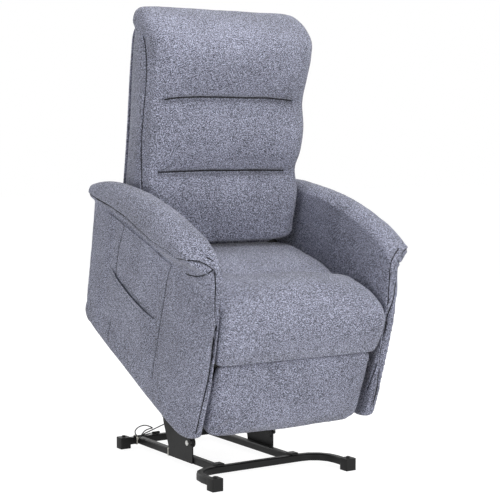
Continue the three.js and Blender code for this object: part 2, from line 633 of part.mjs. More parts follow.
// ---------------------------------------------------------------- seat unit structure
function liftPlate(side) {
  const outline = rounded([
    [PLATE_FRONT_Y, PLATE_LOW_Z, 12],
    [PIVOT_C[0] - 70, PLATE_LOW_Z, 30],
    [PIVOT_C[0] - 16, PIVOT_C[1] - 13, 12],
    [PIVOT_D[0] + 18, PIVOT_D[1] - 14, 12],
    [PLATE_REAR_Y, PLATE_LOW_Z + 10, 14],
    [PLATE_REAR_Y, PLATE_TOP_Z, 3],
    [PLATE_FRONT_Y, PLATE_TOP_Z, 3],
  ]);
  const plate = plateX(outline, LIFT_PLATE_X, PLATE_THICKNESS, side);
  const flange = block(side * (LIFT_PLATE_X - FLANGE_WIDTH), side * (LIFT_PLATE_X + 1),
    PLATE_FRONT_Y + 6, PLATE_REAR_Y - 6, PLATE_TOP_Z - PLATE_THICKNESS, PLATE_TOP_Z);
  const frontPin = [LIFT_PLATE_X, FRONT_LINK_X + LINK_THICKNESS + LINK_PLAY / 2];
  const rearBoss = [LIFT_PLATE_X, REAR_LINK_X - LINK_PLAY / 2];
  const headX = [side * (LIFT_PLATE_X - RIVET_HEIGHT), side * (LIFT_PLATE_X + 1)];
  const head = (at) => barX(RIVET_RADIUS, ...headX, at);
  return join(plate, flange, head(PIVOT_C), head(PIVOT_D),
    barX(PIN_RADIUS, side * frontPin[0], side * frontPin[1], PIVOT_C),
    barX(PIN_RADIUS, side * rearBoss[0], side * rearBoss[1], PIVOT_D));
}

function reclinePlate(side) {
  const outline = rounded([
    [PIVOT_E[0] - 22, PIVOT_E[1] - 16, 14],
    [PIVOT_E[0] + 30, PIVOT_E[1] - 26, 14],
    [CROSS_TUBE_Y[0] - 30, PLATE_TOP_Z - 2, 16],
    [CROSS_TUBE_Y[1] + 24, PLATE_TOP_Z - 2, 14],
    [PIVOT_Q[0] + 22, PIVOT_Q[1] - 18, 16],
    [PIVOT_Q[0] + 16, PIVOT_Q[1] + 18, 14],
    [PIVOT_Q[0] - 26, PIVOT_Q[1] + 12, 14],
    [SEAT_FRAME_REAR_Y - 10, SEAT_LOW_Z - 2, 8],
    [PIVOT_E[0] - 22, SEAT_LOW_Z - 2, 8],
  ]);
  const plate = plateX(outline, SIDE_PLATE_X, PLATE_THICKNESS, side);
  const inside = (at, radius, reach) => barX(radius,
    side * (SIDE_PLATE_X - reach), side * (SIDE_PLATE_X + 1), at);
  const boss = (at) => barX(9, side * (SIDE_PLATE_X + 1), side * (ARM_IN_X - GAP), at);
  const footrestPin = inside(PIVOT_E, FOOTREST_PIN, FOOTREST_LINK_THICKNESS + 3);
  const backPin = inside(PIVOT_Q, PIN_RADIUS, 11);
  const cap = inside(PIVOT_E, FOOTREST_PIN + 3, 0).translate(-side * (FOOTREST_LINK_THICKNESS + 2), 0, 0);
  return join(plate, footrestPin, cap, backPin, boss([PIVOT_E[0] + 20, PIVOT_E[1] + 10]),
    boss([CROSS_TUBE_Y[1], 170]), boss([CROSS_TUBE_Y[0], 170]));
}

function sinuousSpring(x) {
  const points = [];
  const from = SEAT_FRAME_FRONT_Y + SEAT_RAIL_WIDTH + SPRING_WIRE + GAP;
  const to = SEAT_FRAME_REAR_Y - SEAT_RAIL_WIDTH - SPRING_WIRE - GAP;
  const z = SEAT_LOW_Z - SPRING_WIRE - SPRING_ARCH;
  const perWave = 6;
  const count = SPRING_WAVES * perWave;
  for (let i = 0; i <= count; i++) {
    const t = i / count;
    const arch = SPRING_ARCH * Math.sin(Math.PI * t);
    points.push(new THREE.Vector3(x + SPRING_HALF_WIDTH * Math.sin(2 * Math.PI * SPRING_WAVES * t),
      lerp(from, to, t), z + arch));
  }
  return roundTube(new THREE.CatmullRomCurve3(points), SPRING_WIRE, count, 5);
}

function buildSeatStructure() {
  const reach = SIDE_PLATE_X - GAP;
  const tubeZ = PLATE_TOP_Z + GAP + CROSS_TUBE_RADIUS;
  CROSS_TUBE_Y.forEach((y, i) => {
    add(seat, `seat_cross_tube_${i + 1}`, pipeX(CROSS_TUBE_RADIUS, 2, -reach, reach, [y, tubeZ]), blackSteel);
  });
  const headTube = [LIFT_HEAD[0] - 28, LIFT_HEAD[1] + 22];
  const headReach = LIFT_PLATE_X - GAP;
  add(seat, 'lift_head_tube', pipeX(11, 2, -headReach, headReach, headTube,
    ...lugs(ACTUATOR_X, LIFT_HEAD, headTube, 20)), blackSteel);
  for (const [name, side] of SIDES) {
    add(seat, `${name}_lift_plate`, liftPlate(side), blackSteel);
    add(seat, `${name}_recline_plate`, reclinePlate(side), blackSteel);
    add(seat, `${name}_seat_rail`, block(side * (reach - SEAT_RAIL_WIDTH), side * reach,
      SEAT_FRAME_FRONT_Y + SEAT_RAIL_WIDTH + GAP, SEAT_FRAME_REAR_Y - SEAT_RAIL_WIDTH - GAP,
      SEAT_RAIL_LOW_Z, SEAT_LOW_Z), timber);
  }
  const railX = reach;
  add(seat, 'front_seat_rail', block(-railX, railX, SEAT_FRAME_FRONT_Y, SEAT_FRAME_FRONT_Y + SEAT_RAIL_WIDTH,
    SEAT_RAIL_LOW_Z, SEAT_LOW_Z), timber);
  const rearRail = block(-railX, railX, SEAT_FRAME_REAR_Y - SEAT_RAIL_WIDTH, SEAT_FRAME_REAR_Y,
    SEAT_RAIL_LOW_Z, SEAT_LOW_Z);
  const tailPin = barX(PIN_RADIUS, -ACTUATOR_X - TAIL_PIN_REACH, -ACTUATOR_X + TAIL_PIN_REACH, RECLINE_TAIL);
  add(seat, 'rear_seat_rail', join(rearRail,
    ...lugs(-ACTUATOR_X, RECLINE_TAIL, [RECLINE_TAIL[0], SEAT_RAIL_LOW_Z + 10], 26), tailPin), timber);
  add(seat, 'seat_cushion', seatCushion(), fabric);
  for (let i = 0; i < SPRING_COUNT; i++) {
    add(seat, `seat_spring_${i + 1}`, sinuousSpring((i - (SPRING_COUNT - 1) / 2) * SPRING_PITCH), zinc);
  }
}

// ---------------------------------------------------------------- footrest
function footrestKnee() {
  const [ey, ez] = PIVOT_E;
  const [ky, kz] = PIVOT_K;
  const span = Math.hypot(ky - ey, kz - ez);
  const drop = Math.sqrt(FOOTREST_LINK_LENGTH ** 2 - (span / 2) ** 2);
  return [(ey + ky) / 2 + ((ez - kz) / span) * drop, (ez + kz) / 2 - ((ey - ky) / span) * drop];
}

function drivePoints() {
  const [fy, fz] = footrestKnee();
  const [ey, ez] = PIVOT_E;
  const along = [(fy - ey) / FOOTREST_LINK_LENGTH, (fz - ez) / FOOTREST_LINK_LENGTH];
  const behind = [-along[1], along[0]];
  const tube = [ey + along[0] * DRIVE_ALONG, ez + along[1] * DRIVE_ALONG];
  return { tube, rod: [tube[0] + behind[0] * DRIVE_REACH, tube[1] + behind[1] * DRIVE_REACH] };
}

function buildFootrest() {
  const knee = footrestKnee();
  const bore = FOOTREST_PIN + PIN_PLAY;
  const rearX = SIDE_PLATE_X - 1 - FOOTREST_LINK_THICKNESS;
  const frontX = rearX - 1 - FOOTREST_LINK_THICKNESS;
  const earX = frontX - 1 - FOOTREST_LINK_THICKNESS;
  for (const [name, side] of SIDES) {
    const rear = plateX(linkShape(PIVOT_E, knee, FOOTREST_LINK_WIDTH, bore), rearX,
      FOOTREST_LINK_THICKNESS, side, 5);
    const kneePin = barX(FOOTREST_PIN + 0.5, side * (frontX - 2), side * (rearX + 1), knee);
    const kneeFill = barX(FOOTREST_PIN + 3, side * rearX, side * (rearX + FOOTREST_LINK_THICKNESS), knee);
    add(seat, `${name}_rear_footrest_link`, join(rear, kneeFill, kneePin), zinc);
    const front = plateX(linkShape(knee, PIVOT_K, FOOTREST_LINK_WIDTH, bore + 0.5), frontX,
      FOOTREST_LINK_THICKNESS, side, 5);
    add(seat, `${name}_front_footrest_link`, front, zinc);
  }
  const { tube, rod } = drivePoints();
  const half = rearX - GAP;
  add(seat, 'recline_drive_tube', pipeX(CROSS_TUBE_RADIUS, 2, -half, half, tube,
    ...lugs(-ACTUATOR_X, rod, tube, 22)), blackSteel);

  const rear = BOARD_FRONT_Y + BOARD_THICKNESS;
  const board = block(-BOARD_HALF_WIDTH, BOARD_HALF_WIDTH, BOARD_FRONT_Y, rear, BOARD_LOW_Z, BOARD_TOP_Z);
  const ears = [-1, 1].flatMap((side) => [
    plateX(rounded([[rear - 2, PIVOT_K[1] - 50], [PIVOT_K[0] + 8, PIVOT_K[1] - 14, 8],
      [PIVOT_K[0] + 8, PIVOT_K[1] + 14, 8], [rear - 2, PIVOT_K[1] + 34]]), earX - 12,
    FOOTREST_LINK_THICKNESS, side),
    block(side * (earX - 12), side * (earX - 22), rear - 3, rear + 3, PIVOT_K[1] - 48, PIVOT_K[1] + 32),
    barX(FOOTREST_PIN + 0.5, side * (earX - 9), side * (frontX + FOOTREST_LINK_THICKNESS + 0.5), PIVOT_K),
  ]);
  add(seat, 'footrest_board', join(board, ...ears), blackSteel);
  add(seat, 'footrest_pad', footrestPad(), fabric);
}

function footrestPad() {
  const rear = BOARD_FRONT_Y - GAP;
  return padded(12, 2, 8, [7, 2.6, 7], (a, b, c) => {
    const t = (c + 1) / 2;
    const halfWidth = PAD_HALF_WIDTH - 10 * (1 - t);
    const crown = PAD_CROWN * (1 - a * a) * Math.sin(Math.PI * (0.12 + 0.76 * t));
    const face = lerp(78, 108, smooth(t, 0.2, 1)) - crown;
    return [a * halfWidth, lerp(face, rear, (b + 1) / 2), lerp(PAD_LOW_Z, PAD_TOP_Z, t)];
  });
}

// ---------------------------------------------------------------- seat cushion
function seatCushion() {
  const topLine = profile([[92, 388], [130, 405], [190, 412], [260, 404], [400, 372], [560, 345],
    [650, 330]]);
  return padded(12, 14, 4, [7, 8, 3.2], (a, b, c) => {
    const y = lerp(SEAT_FRONT_Y, SEAT_REAR_Y, ((b + 1) / 2) ** 1.25); // closer rows at the front
    const lip = 1 - smooth(y, SEAT_FRONT_Y + 4, SEAT_FRONT_Y + 20);
    const low = lerp(SEAT_LOW_Z + GAP, SEAT_LIP_Z, lip);
    const crown = SEAT_CROWN * (1 - Math.abs(a) ** 2.2) * smooth(y, 80, 200);
    const top = topLine(y) + crown - 14 * Math.abs(a) ** 4;
    const level = c < 0 ? Math.max(-1, 1.25 * c) : c; // flat underneath
    return [a * SEAT_HALF_WIDTH, y, lerp(low, top, (level + 1) / 2)];
  });
}

// ---------------------------------------------------------------- arms
const armFront = profile([[0, 69], [125, 77], [218, 86], [360, 113], [437, 140], [500, 165]]);
const armRear = profile([[0, 764], [118, 792], [245, 820], [347, 844], [430, 862]]);
const armTop = profile([[150, 470], [260, 452], [360, 436], [600, 416], [860, 374]]);
const restTop = profile([[REST_FRONT_Y, 520], [174, 545], [215, 560], [300, 566], [450, 556], [640, 516],
  [790, 463], [REST_REAR_Y, 412]]);

function armPanel(side) {
  return padded(12, 2, 8, [60, 3.5, 60], (u, b, c) => {
    const t = (c + 1) / 2;
    const along = (Math.sign(u) * Math.abs(u) ** 0.6 + 1) / 2; // closer columns at both ends
    const yNear = lerp(ARM_FRONT_Y, ARM_REAR_Y, along);
    const top = armTop(yNear + 60 * t);
    const toe = 44 * (1 - smooth(yNear, ARM_FRONT_Y - 30, ARM_FRONT_Y + 90)) ** 1.5;
    const heel = 26 * smooth(yNear, ARM_REAR_Y - 40, ARM_REAR_Y + 12) ** 2;
    const z = lerp(ARM_LOW_Z + toe + heel, top, t);
    const y = lerp(armFront(z), armRear(z), along);
    const bulge = ARM_BULGE * smooth(y, ARM_FRONT_Y + 10, ARM_FRONT_Y + 240);
    const out = ARM_OUT_X + bulge;
    return [side * lerp(ARM_IN_X, out, (b + 1) / 2), y, z];
  });
}

// the roll on an arm: domed across, its flared outer corner set back from the front end
function armRest(side) {
  return padded(14, 5, 3, [4.2, 4, 2.6], (u, b, c) => {
    const along = (u + 1) / 2;
    const flare = 1 - smooth(along, 0.15, 1);
    const x = lerp(ARM_IN_X, lerp(REST_REAR_OUT_X, REST_OUT_X, flare), (b + 1) / 2);
    const past = Math.max(0, x - REST_CREST_X);
    const within = Math.max(0, REST_CREST_X - x);
    const y = lerp(REST_FRONT_Y + 1.15 * past, REST_REAR_Y, along);
    const nose = 1 - smooth(y, REST_FRONT_Y, REST_FRONT_Y + 110);
    const low = armTop(y) + 2.8 + 0.95 * past + 8 * nose;
    const high = restTop(y) - 0.0098 * past ** 2 - 0.0156 * within ** 2;
    return [side * x, y, lerp(low, Math.max(high, low + 12), (c + 1) / 2)];
  });
}

// A pocket sewn to the outer face of an arm on three sides, its mouth standing open.
function armPocket(side) {
  const outerAt = (y) => ARM_OUT_X + ARM_BULGE * smooth(y, ARM_FRONT_Y + 10, ARM_FRONT_Y + 240);
  return padded(10, 1, 6, [40, 40, 40], (u, b, c) => {
    const t = (c + 1) / 2;
    const y = lerp(POCKET_FRONT_Y, POCKET_REAR_Y, (u + 1) / 2) + POCKET_FLARE * (t - 1) * u;
    const z = lerp(POCKET_LOW_Z, POCKET_TOP_Z, t) - POCKET_SAG * (1 - u * u) * t * t;
    const open = POCKET_DEPTH * t * (1 - u ** 4);
    const sewn = outerAt(y) + GAP;
    return [side * (sewn + open + (b < 0 ? 0 : POCKET_SHEET)), y, z];
  });
}

function buildArms() {
  for (const [name, side] of SIDES) {
    add(seat, `${name}_arm_panel`, armPanel(side), fabric);
    add(seat, `${name}_armrest`, armRest(side), fabric);
    add(seat, `${name}_pocket`, armPocket(side), fabric);
  }
  const height = REAR_PANEL_TOP_Z - REAR_PANEL_LOW_Z;
  const lean = Math.atan2(armRear(REAR_PANEL_TOP_Z) - armRear(REAR_PANEL_LOW_Z), height);
  const panel = block(-ARM_IN_X + GAP, ARM_IN_X - GAP, -REAR_PANEL_THICKNESS, 0, 0, height);
  panel.rotateX(-lean).translate(0, armRear(REAR_PANEL_LOW_Z) - REAR_PANEL_INSET, REAR_PANEL_LOW_Z);
  add(seat, 'rear_panel', panel, fabric);
}

// ---------------------------------------------------------------- back
const backFace = profile([[BACK_LOW_Z, 672], [335, 652], [450, 636], [550, 652], [660, 668], [767, 700],
  [870, 712], [BACK_TOP_Z - 40, 756], [BACK_TOP_Z, 862]]);
const backRear = profile([[BACK_LOW_Z, 790], [425, 826], [620, 886], [790, 941], [900, 969],
  [BACK_TOP_Z - 30, 962], [BACK_TOP_Z, 930]]);

function backCushion() {
  const form = padded(12, 3, 22, [7, 3.4, 9], (a, b, c) => {
    const z = lerp(CUSHION_LOW_Z, BACK_TOP_Z, (c + 1) / 2);
    const bulge = lerp(...BACK_BULGE, smooth(z, 520, 820)) * (1 - smooth(b, -0.6, 0.3));
    const width = BACK_HALF_WIDTH + bulge - 14 * (1 - smooth(z, 300, 430));
    const channel = CHANNEL_Z.reduce((sum, at) => sum + Math.exp(-(((z - at) / CHANNEL_WIDTH) ** 2)), 0);
    const front = b < 0 ? Math.min(1, -b * 1.6) : 0;
    const sunk = CHANNEL_DEPTH * channel * front * (1 - Math.abs(a) ** 6);
    const wrap = 38 * Math.abs(a) ** 6 + 24 * a * a * smooth(z, 700, 940);
    const face = backFace(z) + wrap + sunk;
    const rear = backRear(z) - SHELL_THICKNESS - GAP;
    return [a * width, lerp(Math.min(face, rear - 20), rear, (b + 1) / 2), z];
  });
  const levels = [CUSHION_LOW_Z - 20, 425, 620, 790, BACK_FRAME_TOP_Z + 22];
  const hollow = polygon([...levels.map((z) => [backRear(z) - SHELL_THICKNESS - BACK_HOLLOW, z]),
    ...levels.reverse().map((z) => [backRear(z) + 40, z])]);
  const half = BACK_HALF_WIDTH - CUSHION_WALL;
  const clear = BACK_TUBE_RADIUS + 4;
  const barNotch = block(-BACK_HALF_WIDTH, BACK_HALF_WIDTH, backTubeY(BACK_BAR_Z) - clear, BACK_NOTCH_Y,
    CUSHION_LOW_Z - 20, BACK_BAR_Z + clear);
  return cut(form, plateX(hollow, -half, 2 * half), barNotch);
}

function backShell() {
  return padded(8, 1, 12, [14, 14, 14], (a, b, c) => {
    const z = lerp(BACK_LOW_Z, SHELL_TOP_Z, (c + 1) / 2);
    const round = 8 * Math.abs(a) ** 8;
    return [a * (BACK_HALF_WIDTH - 6), backRear(z) - round - (b < 0 ? SHELL_THICKNESS : 0), z];
  });
}

// the line of the bent back tube, in the hollow behind the cushion
const backTubeY = (z) => backRear(z) - SHELL_THICKNESS - BACK_HOLLOW / 2 - BACK_TUBE_FORWARD;

// a bent tube round the back, its foot bar carried by an ear that turns on each recline plate
function backFrame() {
  const inset = BACK_FRAME_INSET;
  const half = BACK_FRAME_HALF_WIDTH;
  const top = BACK_FRAME_TOP_Z;
  const foot = [backTubeY(BACK_BAR_Z), BACK_BAR_Z];
  const v = (x, z) => new THREE.Vector3(x, backTubeY(z), z);
  const side = (s) => [v(s * half, BACK_BAR_Z), v(s * half, 500), v(s * half, 680),
    v(s * half, top - 2 * inset),
    v(s * (half - inset * 0.2), top - inset * 0.7), v(s * (half - inset * 0.7), top - inset * 0.2),
    v(s * (half - 2 * inset), top), v(s * half / 3, top)];
  const points = [...side(-1), ...side(1).reverse()];
  const hoop = roundTube(new THREE.CatmullRomCurve3(points, false, 'centripetal'), BACK_TUBE_RADIUS, 34, 9);
  const earX = SIDE_PLATE_X - 1 - EAR_THICKNESS;
  const bar = barX(BACK_TUBE_RADIUS, -earX - 1, earX + 1, foot);
  const ears = [-1, 1].map((s) => {
    const shape = linkShape(PIVOT_Q, foot, 34, PIN_RADIUS + PIN_PLAY);
    shape.holes.length = 1;
    return plateX(shape, earX, EAR_THICKNESS, s, 7);
  });
  return join(hoop, bar, ...ears);
}

function buildBack() {
  add(seat, 'back_frame', backFrame(), blackSteel);
  add(seat, 'back_cushion', backCushion(), fabric);
  add(seat, 'back_shell', backShell(), fabric);
}

buildFrame();
buildLead();
buildLinks();
actuator(frame, 'lift', ACTUATOR_X, LIFT_TAIL, seatToFrame(LIFT_HEAD), LIFT_STROKE, 0, -1);
buildSeatStructure();
buildFootrest();
actuator(seat, 'recline', -ACTUATOR_X, RECLINE_TAIL, drivePoints().rod, 0, RECLINE_STROKE, 1);
buildArms();
buildBack();

// the origin is the point on the floor under the middle of the whole chair
const extent = new THREE.Box3().setFromObject(chair, true);
chair.position.set(-(extent.min.x + extent.max.x) / 2, -(extent.min.y + extent.max.y) / 2, -extent.min.z);
chair.updateMatrixWorld(true);
export default chair;
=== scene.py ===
"""Lift recliner chair, shown raised: padding, seams, lead, finishes and stage round its frame.

The upholstery is drawn in seat coordinates, in millimetres: x to the sitter's left, y rearward and
z up on the seat unit before it is tipped. to_room() puts such points into the room, in metres.
"""

import math

import bmesh
import bpy
import numpy as np
from bpy.props import FloatProperty, FloatVectorProperty, PointerProperty
from mathutils import Euler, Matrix, Vector, kdtree, noise
from mathutils.bvhtree import BVHTree


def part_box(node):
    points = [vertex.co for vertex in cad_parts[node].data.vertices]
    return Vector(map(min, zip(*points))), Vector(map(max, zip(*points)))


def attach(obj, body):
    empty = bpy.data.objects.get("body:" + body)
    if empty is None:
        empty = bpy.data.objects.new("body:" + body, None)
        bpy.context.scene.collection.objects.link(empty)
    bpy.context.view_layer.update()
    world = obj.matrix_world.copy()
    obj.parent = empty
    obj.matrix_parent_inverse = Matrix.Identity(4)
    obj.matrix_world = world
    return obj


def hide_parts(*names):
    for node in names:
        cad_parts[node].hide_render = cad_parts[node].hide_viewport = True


bl_info = {
    "name": "Lift recliner chair",
    "version": (1, 0, 0),
    "blender": (4, 5, 0),
    "location": "3D View > Sidebar > Recliner",
    "description": "Padding, seams, lead, finishes and stage for a raised lift recliner chair",
    "category": "Object",
}

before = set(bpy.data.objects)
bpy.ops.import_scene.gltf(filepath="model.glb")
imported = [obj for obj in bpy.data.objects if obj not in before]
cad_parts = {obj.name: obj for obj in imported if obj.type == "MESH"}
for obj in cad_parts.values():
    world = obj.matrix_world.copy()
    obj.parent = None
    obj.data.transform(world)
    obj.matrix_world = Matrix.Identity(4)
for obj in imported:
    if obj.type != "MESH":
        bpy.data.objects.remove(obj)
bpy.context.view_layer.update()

TILT = math.radians(25.65)
SEAT_AT = (-47.0, 98.2)  # the seat coordinates' origin, y and z on the floor frame
FRONT_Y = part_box("right_front_foot")[0].y  # where the floor frame starts in the room
RIGHT, LEFT = -1, 1  # the sitter's right arm stands at -x
SIDE_NAMES = {RIGHT: "right", LEFT: "left"}

FRAME_SIZE = 500  # the picture's width and height, in pixels
SIGHT_LENGTH = 1403.9  # the lens's focal length, in the same pixels
CAMERA_AT = Vector((-2.2546, -3.2787 + FRONT_Y, 0.970))
CAMERA_TURN = Euler((math.radians(90 - 4.3596), 0, math.radians(-32.984)))

COVER_CELL = 0.0065  # the mesh of the large stuffed covers, in metres
CLOTH_FRAMES = 20
CLOTH_STIFFNESS = 12.0
LIFT_PIVOTS = ((300, 75), (445, 140))  # y and z on each bracket, on the floor frame
CHANNEL_HEIGHTS = (550, 767)  # the back's two sewn channels
SEAT_HALF = 282.6  # half the room between the arms
ARM_SEAT_FACE = 284.2  # where an arm's inner face stands
HEM_DROP = 12  # from a pocket's mouth to its stitched line
LEAD_DIAMETER = 0.0036
LEAD_ON_TUBE = 34.1  # the lead's middle where it lies on the rear tube
LAMPS = (  # name, place, size in metres, power in watts
    ("Key", (0.7, -4.3, 1.3), 2.0, 90),
    ("Side", (-4.4, -1.4, 0.8), 2.2, 88),
    ("Top", (0.2, -0.9, 4.2), 2.2, 92),
    ("Rear", (0.6, 4.2, 2.4), 2.6, 50),
)
LAMP_AIM = Vector((0, 0, 0.65))
FLOOR_HALF = 20  # the studio floor reaches this far each way, in metres


# ------------------------------------------------------------------ places and outlines
def to_room(points):
    """Seat coordinates in millimetres to the room, in metres."""
    p = np.asarray(points, float)
    y = SEAT_AT[0] + p[:, 1] * math.cos(TILT) - p[:, 2] * math.sin(TILT)
    z = SEAT_AT[1] + p[:, 1] * math.sin(TILT) + p[:, 2] * math.cos(TILT)
    return np.column_stack([p[:, 0], y, z]) / 1000 + (0, FRONT_Y, 0)


def to_seat(points):
    """The room, in metres, back to seat coordinates in millimetres."""
    p = (np.asarray(points, float) - (0, FRONT_Y, 0)) * 1000
    y, z = p[:, 1] - SEAT_AT[0], p[:, 2] - SEAT_AT[1]
    return np.column_stack([p[:, 0], y * math.cos(TILT) + z * math.sin(TILT),
                            z * math.cos(TILT) - y * math.sin(TILT)])


def smooth(t, low, high):
    """0 below low, 1 above high, and an easy turn between them."""
    s = np.clip((np.asarray(t, float) - low) / (high - low), 0, 1)
    return s * s * (3 - 2 * s)


def lerp(a, b, t):
    return a + (b - a) * t


def profile(*stops):
    """A smooth line through a few (place, value) stops."""
    places = np.array([s[0] for s in stops], float)
    values = np.array([s[1] for s in stops], float)
    slopes = np.gradient(values, places)

    def at(t):
        t = np.clip(np.asarray(t, float), places[0], places[-1])
        i = np.clip(np.searchsorted(places, t, side="right") - 1, 0, len(places) - 2)
        span = places[i + 1] - places[i]
        s = (t - places[i]) / span
        bend = span * s * (1 - s) * (slopes[i] * (1 - s) - slopes[i + 1] * s)
        return lerp(values[i], values[i + 1], s * s * (3 - 2 * s)) + bend

    return at


# Outlines on the seat unit, in millimetres: y or z against the other.
arm_front = profile((0, 69), (125, 77), (218, 86), (360, 113), (437, 140), (500, 165))
arm_rear = profile((0, 764), (118, 792), (245, 820), (347, 844), (430, 862))
arm_top = profile((150, 470), (260, 452), (360, 436), (600, 416), (860, 374))
rest_top = profile((144, 520), (174, 545), (215, 560), (300, 566), (450, 556), (640, 516),
                   (790, 463), (872, 412))
seat_top = profile((92, 388), (130, 405), (190, 412), (260, 404), (400, 372), (560, 342),
                   (650, 326))
back_face = profile((286, 656), (326, 656), (334, 618), (346, 596), (400, 591), (450, 598),
                    (500, 613), (550, 643), (610, 646), (670, 656), (767, 694), (830, 699),
                    (890, 709), (940, 742), (980, 850))
back_rear = profile((222, 790), (425, 826), (620, 886), (790, 941), (900, 969), (950, 962),
                    (980, 930))


def arm_outer(y):
    """How far out the face of an arm panel stands."""
    return 312 + 20 * smooth(y, 80, 310)


def roll_out(y):
    """How far out the roll of an arm stands."""
    return lerp(383, 352, smooth(y, 250, 872))


def roll_low(y):
    """The height of the roll's lower edge at one place along the arm."""
    return arm_top(y) + lerp(56, 20, min(1, max(0, (y - 215) / 600)))


# ------------------------------------------------------------------ meshes
def cover(cells, power, place):
    """A closed padded form: a box grid rounded by power, then shaped by place(a, b, c), whose
    arguments run from -1 to 1 across, front to rear and bottom to top."""
    index, lattice, faces = {}, [], []

    def corner(key):
        if key not in index:
            index[key] = len(lattice)
            lattice.append(key)
        return index[key]

    for axis in range(3):
        u, v = (axis + 1) % 3, (axis + 2) % 3
        for end in (0, cells[axis]):
            for i in range(cells[u]):
                for j in range(cells[v]):
                    ring = []
                    for du, dv in ((0, 0), (1, 0), (1, 1), (0, 1)):
                        key = [0, 0, 0]
                        key[axis], key[u], key[v] = end, i + du, j + dv
                        ring.append(corner(tuple(key)))
                    faces.append(ring if end else ring[::-1])
    grid = 2 * np.array(lattice, float) / np.array(cells) - 1
    power = np.array(power, float)
    length = (np.abs(grid) ** power).sum(1)[:, None]
    a, b, c = (grid / length ** (1 / power)).T
    return np.column_stack(place(a, b, c)), faces


def link_new(name, data):
    """A new object in the scene for the data."""
    thing = bpy.data.objects.new(name, data)
    bpy.context.scene.collection.objects.link(thing)
    return thing


def make_piece(name, points, faces):
    """A mesh object whose place is in its mesh, with its faces pointing out."""
    mesh = bpy.data.meshes.new(name)
    mesh.from_pydata([tuple(p) for p in points], [], faces)
    work = bmesh.new()
    work.from_mesh(mesh)
    bmesh.ops.remove_doubles(work, verts=work.verts, dist=1e-6)
    bmesh.ops.recalc_face_normals(work, faces=work.faces)
    work.to_mesh(mesh)
    work.free()
    mesh.polygons.foreach_set("use_smooth", [True] * len(mesh.polygons))
    return link_new(name, mesh)


def settle(piece):
    """Turns what the modifiers make into the piece's own mesh."""
    graph = bpy.context.evaluated_depsgraph_get()
    fresh = bpy.data.meshes.new_from_object(piece.evaluated_get(graph))
    piece.modifiers.clear()
    old, piece.data = piece.data, fresh
    bpy.data.meshes.remove(old)
    fresh.name = piece.name
    return piece


def read(rows, field):
    flat = np.zeros(len(rows) * 3)
    rows.foreach_get(field, flat)
    return flat.reshape(-1, 3)


def points_of(piece):
    return read(piece.data.vertices, "co")


def set_points(piece, points):
    piece.data.vertices.foreach_set("co", np.asarray(points, float).ravel())
    piece.data.update()


def swell(piece, height):
    """Moves each point of the piece out along its normal, by its own height in millimetres."""
    outward = read(piece.data.vertex_normals, "vector")
    set_points(piece, points_of(piece) + outward * (height / 1000)[:, None])


def remesh(piece, cell):
    """Even small quads all over, in metres."""
    grid = piece.modifiers.new("Even cells", "REMESH")
    grid.mode = "VOXEL"
    grid.voxel_size = cell
    grid.use_smooth_shade = True
    return settle(piece)


def refine(piece):
    finer = piece.modifiers.new("Finer", "SUBSURF")
    finer.levels = finer.render_levels = 1
    return settle(piece)


def run_of(line):
    """How far along the line each of its points is."""
    return np.concatenate([[0], np.cumsum(np.linalg.norm(np.diff(line, axis=0), axis=1))])


def spread(line, count):
    """A line of evenly spaced points along another."""
    run = run_of(line)
    at = np.linspace(0, run[-1], count)
    return np.column_stack([np.interp(at, run, line[:, k]) for k in range(3)])


def dense(line, step=1.5):
    """Points every step millimetres along a line of seat points."""
    line = np.asarray(line, float)
    return spread(line, max(2, int(run_of(line)[-1] / step)))


def eased(line, rounds=3, step=6.0):
    """A line with its corners eased, its two ends kept."""
    p = dense(line, step)
    for _ in range(rounds * 4):
        p[1:-1] = (p[:-2] + 2 * p[1:-1] + p[2:]) / 4
    return dense(p)


def reach_to(lines, points):
    """How far each seat point is from the nearest of the lines, in millimetres."""
    stops = np.concatenate([dense(line) for line in lines])
    tree = kdtree.KDTree(len(stops))
    for i, p in enumerate(stops):
        tree.insert(p, i)
    tree.balance()
    return np.array([tree.find(p)[2] for p in points])


def tree_of(piece):
    """A search tree of the piece's faces."""
    return BVHTree.FromPolygons([v.co for v in piece.data.vertices],
                                [p.vertices[:] for p in piece.data.polygons])


def lay_on(piece, line, lift=0.0):
    """A line of seat points moved onto the piece's nearest surface, lifted off it a little."""
    tree = tree_of(piece)

    def drop(points, height):
        found = [tree.find_nearest(Vector(p)) for p in to_room(points)]
        return to_seat(np.array([where + normal * height / 1000 for where, normal, _, _ in found]))

    return drop(eased(drop(dense(line), 0), 2), lift)


def sighted(piece, spots):
    """Seat points where the camera's lines of sight through spots of its picture meet the piece."""
    tree, turn, out = tree_of(piece), CAMERA_TURN.to_matrix(), []
    for u, v in dense([(u, v, 0) for u, v in spots], 0.8)[:, :2]:
        ray = turn @ Vector((u - FRAME_SIZE / 2, FRAME_SIZE / 2 - v, -SIGHT_LENGTH)).normalized()
        hit = tree.ray_cast(CAMERA_AT, ray)[0]
        if hit is not None:
            out.append(hit)
    return to_seat(np.array(out))


def shoot(piece, probes, lift=0.0):
    """Where lines shot rearward from the probes first meet the piece, in seat coordinates."""
    tree = tree_of(piece)
    rearward = Vector((0, math.cos(TILT), math.sin(TILT)))
    out = []
    for start in to_room(probes):
        hit = tree.ray_cast(Vector(start) - rearward * 0.2, rearward)
        out.append(hit[0] - rearward * lift / 1000 if hit[0] is not None else Vector(start))
    return to_seat(np.array(out))


